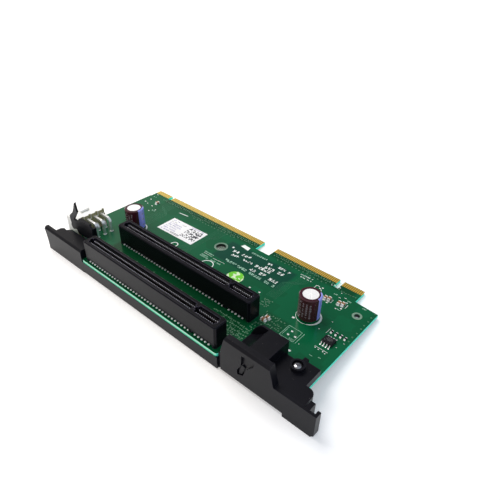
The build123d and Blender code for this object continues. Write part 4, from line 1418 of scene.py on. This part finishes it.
add_tracks("top_tracks", *on_top(TRACK_HEIGHT), [
    (-14.0, 10, 0.8, 3.0, 57.0, 25.0), (28.6, 9, 0.8, -3.5, 54.0, 25.0), (86.6, 8, 0.7, -4.0, 54.5, 36.0),
])
add_tracks("underside_tracks", BOARD_BOTTOM - TRACK_HEIGHT, BOARD_BOTTOM + INK_SINK, [
    (-14.0, 14, 1.0, 4.0, 52.0, 25.5), (6.0, 16, 1.0, 3.0, 55.0, 25.5), (30.0, 20, 1.0, -4.0, 56.0, 25.5),
    (66.0, 20, 1.0, -3.0, 52.0, 25.5), (90.0, 8, 1.0, -6.0, 50.0, 30.0),
])

# %% [markdown]
# The label is white paper with a dark block of squares, a strip of bars and pale rows of print. None
# of it is a real code: a seeded random source fills the squares, and the rows are broken signs. All
# of it is laid out from the label's centre and turned with it.

# %% The label and its print
label_paper = finish("label_paper", (0.95, 0.94, 0.95), 0.42, drift=0.02, grain_scale=6000.0,
                     edge_width=0.0001)
label_ink = finish("label_ink", (0.030, 0.030, 0.045), 0.4, drift=0.2)
lilac_ink = finish("lilac_ink", (0.30, 0.28, 0.46), 0.4, drift=0.1)
dress(["barcode_label"], label_paper)
_, label_middle, label_high = corners_of("barcode_label")
LABEL_TURN = math.radians(1.3)
CELL = 0.68
CODE_LEFT, CODE_LOW = 2.1, -3.7
CODE_COLUMNS, CODE_ROWS = 15, 13
CODE_SHARE = 0.5
BARS_LEFT, BARS_RIGHT = -4.2, 2.6
BARS_ACROSS = -5.0
BARS_HEIGHT = 1.3
BAR_WIDTHS = (0.14, 0.14, 0.28, 0.42)
BAR_GAPS = (0.2, 0.2, 0.4)
DARK_ROWS = [(3.4, -11.4, -7.2), (4.2, -4.0, -1.0)]
PALE_ROWS = [(4.9, -11.4, -5.6), (2.0, -11.4, -2.6), (0.4, -11.4, -1.2), (-1.4, -11.4, -3.4),
             (-3.2, -11.4, -1.8), (-5.0, -11.4, -5.0), (5.7, 2.0, 10.8)]


def thin_layer(top):
    """The lowest and highest height of a thin print on a face at a height."""
    return top - 0.005, top + 0.012


def on_label(along, across):
    """A point given from the label's centre, along and across it."""
    return turned(label_middle.x, label_middle.y, along, across, LABEL_TURN)


def add_label_print():
    """The block of squares, the strip of bars and the rows, given across the label and then along it."""
    chooser = random.Random(3)
    layer = thin_layer(label_high.z)
    dark, pale = bmesh.new(), bmesh.new()
    for column in range(CODE_COLUMNS):
        for row in range(CODE_ROWS):
            if chooser.random() < CODE_SHARE:
                place = on_label(CODE_LEFT + column * CELL, CODE_LOW + row * CELL)
                add_bar(dark, *place, CELL * SIGN_FILL, CELL * SIGN_FILL, *layer, LABEL_TURN)
    along = BARS_LEFT
    while along < BARS_RIGHT:
        width = chooser.choice(BAR_WIDTHS)
        add_bar(dark, *on_label(along, BARS_ACROSS), width, BARS_HEIGHT, *layer, LABEL_TURN)
        along += width + chooser.choice(BAR_GAPS)
    for shape, rows, height in ((dark, DARK_ROWS, 0.5), (pale, PALE_ROWS, 0.9)):
        for across, start, end in rows:
            add_signs(shape, *on_label(start, across), *on_label(end, across), height, chooser, layer)
    add_piece("label_code", dark, label_ink)
    add_piece("label_rows", pale, lilac_ink)


add_label_print()

# %% [markdown]
# The round sticker is a bright green film. Its print is left as soft pale blotches, which a noise
# gives when only its highest part is kept.

# %% The sticker
STICKER_GREEN = (0.13, 0.58, 0.015, 1.0)
STICKER_LIT = (0.20, 0.70, 0.03, 1.0)
STICKER_PALE = (0.80, 0.95, 0.66, 1.0)
BLOTCH_SCALE = 420.0
BLOTCH_RANGE = (0.53, 0.57)


def build_sticker_material():
    """Green film with pale blotches."""
    material, tree, shader = new_material("sticker_film")
    blotches = smooth_step(tree, noise(tree, place_of(tree), BLOTCH_SCALE, 1.0), *BLOTCH_RANGE)
    grain = place_group(tree, GRAIN, {"Grain Scale": 4000.0, "Drift Scale": 200.0})
    green = mix_colour(tree, grain["Drift"], STICKER_GREEN, STICKER_LIT)
    feed(tree, shader, {"Base Color": mix_colour(tree, blotches, green, STICKER_PALE)})
    add_grain(tree, shader, grain, 0.32, 0.000002)
    return material


dress(["round_sticker"], build_sticker_material())

# %% [markdown]
# The two holes have plated rings, and their linings are painted nearly black as the shade inside them.
# The chip gets a round pin mark and three plain bars, and each lead a small wedge of solder at its toe.
# Behind it stands a row of chip resistors.

# %% Rings, chip mark and lead solder
ring_plate = finish("ring_plate", (0.20, 0.32, 0.24), 0.34, metal=0.2, drift=0.2)
dress(["hole_rings"], ring_plate)
chip_print = finish("chip_print", (0.10, 0.10, 0.10), 0.5, drift=0.2)
CHIP_PITCH = 1.27
CHIP_COLUMNS = 4
CHIP_BARS = [(0.7, 2.4), (0.0, 2.9), (-0.6, 1.6)]
CHIP_BAR_WIDTH = 0.22
CHIP_BAR_SHIFT = 0.2
PIN_MARK = 1.0
PIN_RING = (0.18, 0.27)
LEAD_WEDGE = (0.525, 0.4, 0.18)
HOLES = [(41.0, 49.75, 2.6), (120.8, 51.55, 1.25)]
LINER = 0.05
RESISTORS = [(117.9, 36.0), (120.1, 36.0), (122.3, 36.2), (124.3, 36.2)]
RESISTOR_LENGTH = 1.6
RESISTOR_WIDTH = 0.8
RESISTOR_HEIGHT = 0.45
RESISTOR_END = 0.3
RESISTOR_WEDGE = (0.8, 0.3, 0.3)


def add_chip_details():
    """The chip's pin mark and bars, and the solder at its leads."""
    low, middle, high = corners_of("chip_body")
    leads_low, _, leads_high = corners_of("chip_leads")
    marks, wedges = bmesh.new(), bmesh.new()
    add_ring(marks, low.x + PIN_MARK, low.y + PIN_MARK, *PIN_RING, *thin_layer(high.z), 24)
    for across, length in CHIP_BARS:
        x, y = middle.x + CHIP_BAR_SHIFT, middle.y + across
        add_bar(marks, x, y, length, CHIP_BAR_WIDTH, *thin_layer(high.z))
    add_piece("chip_marks", marks, chip_print)
    for column in range(CHIP_COLUMNS):
        x = middle.x + CHIP_PITCH * (column - (CHIP_COLUMNS - 1) / 2)
        for y, way in ((leads_high.y, math.pi / 2), (leads_low.y, -math.pi / 2)):
            add_wedge(wedges, x, y, way, *LEAD_WEDGE)
    add_piece("lead_solder", wedges, solder, 70)


def add_hole_liners():
    """The plating inside the two holes, painted nearly black as the shade inside them."""
    shape = bmesh.new()
    for x, y, radius in HOLES:
        add_ring(shape, x, y, radius - LINER, radius - LINER / 5, BOARD_BOTTOM, BOARD_TOP, 48)
    # The liners' nearly black colour is a painted shade.
    add_piece("hole_shade_liners", shape, hole_painted_shade)


def add_resistors():
    """Four chip resistors in a row behind the chip, each with tinned ends."""
    bodies, ends = bmesh.new(), bmesh.new()
    layer = (BOARD_TOP, BOARD_TOP + RESISTOR_HEIGHT)
    for x, y in RESISTORS:
        body_length = RESISTOR_LENGTH - 2 * RESISTOR_END
        add_bar(bodies, x, y, body_length, RESISTOR_WIDTH, *layer, math.pi / 2)
        for way in (-1, 1):
            end_y = y + way * (RESISTOR_LENGTH - RESISTOR_END) / 2
            add_bar(ends, x, end_y, RESISTOR_END, RESISTOR_WIDTH, *layer, math.pi / 2)
            add_wedge(ends, x, y + way * RESISTOR_LENGTH / 2, way * math.pi / 2, *RESISTOR_WEDGE)
    add_piece("chip_resistor_bodies", bodies, chip_epoxy)
    add_piece("chip_resistor_ends", ends, solder, 60)


add_chip_details()
add_hole_liners()
add_resistors()
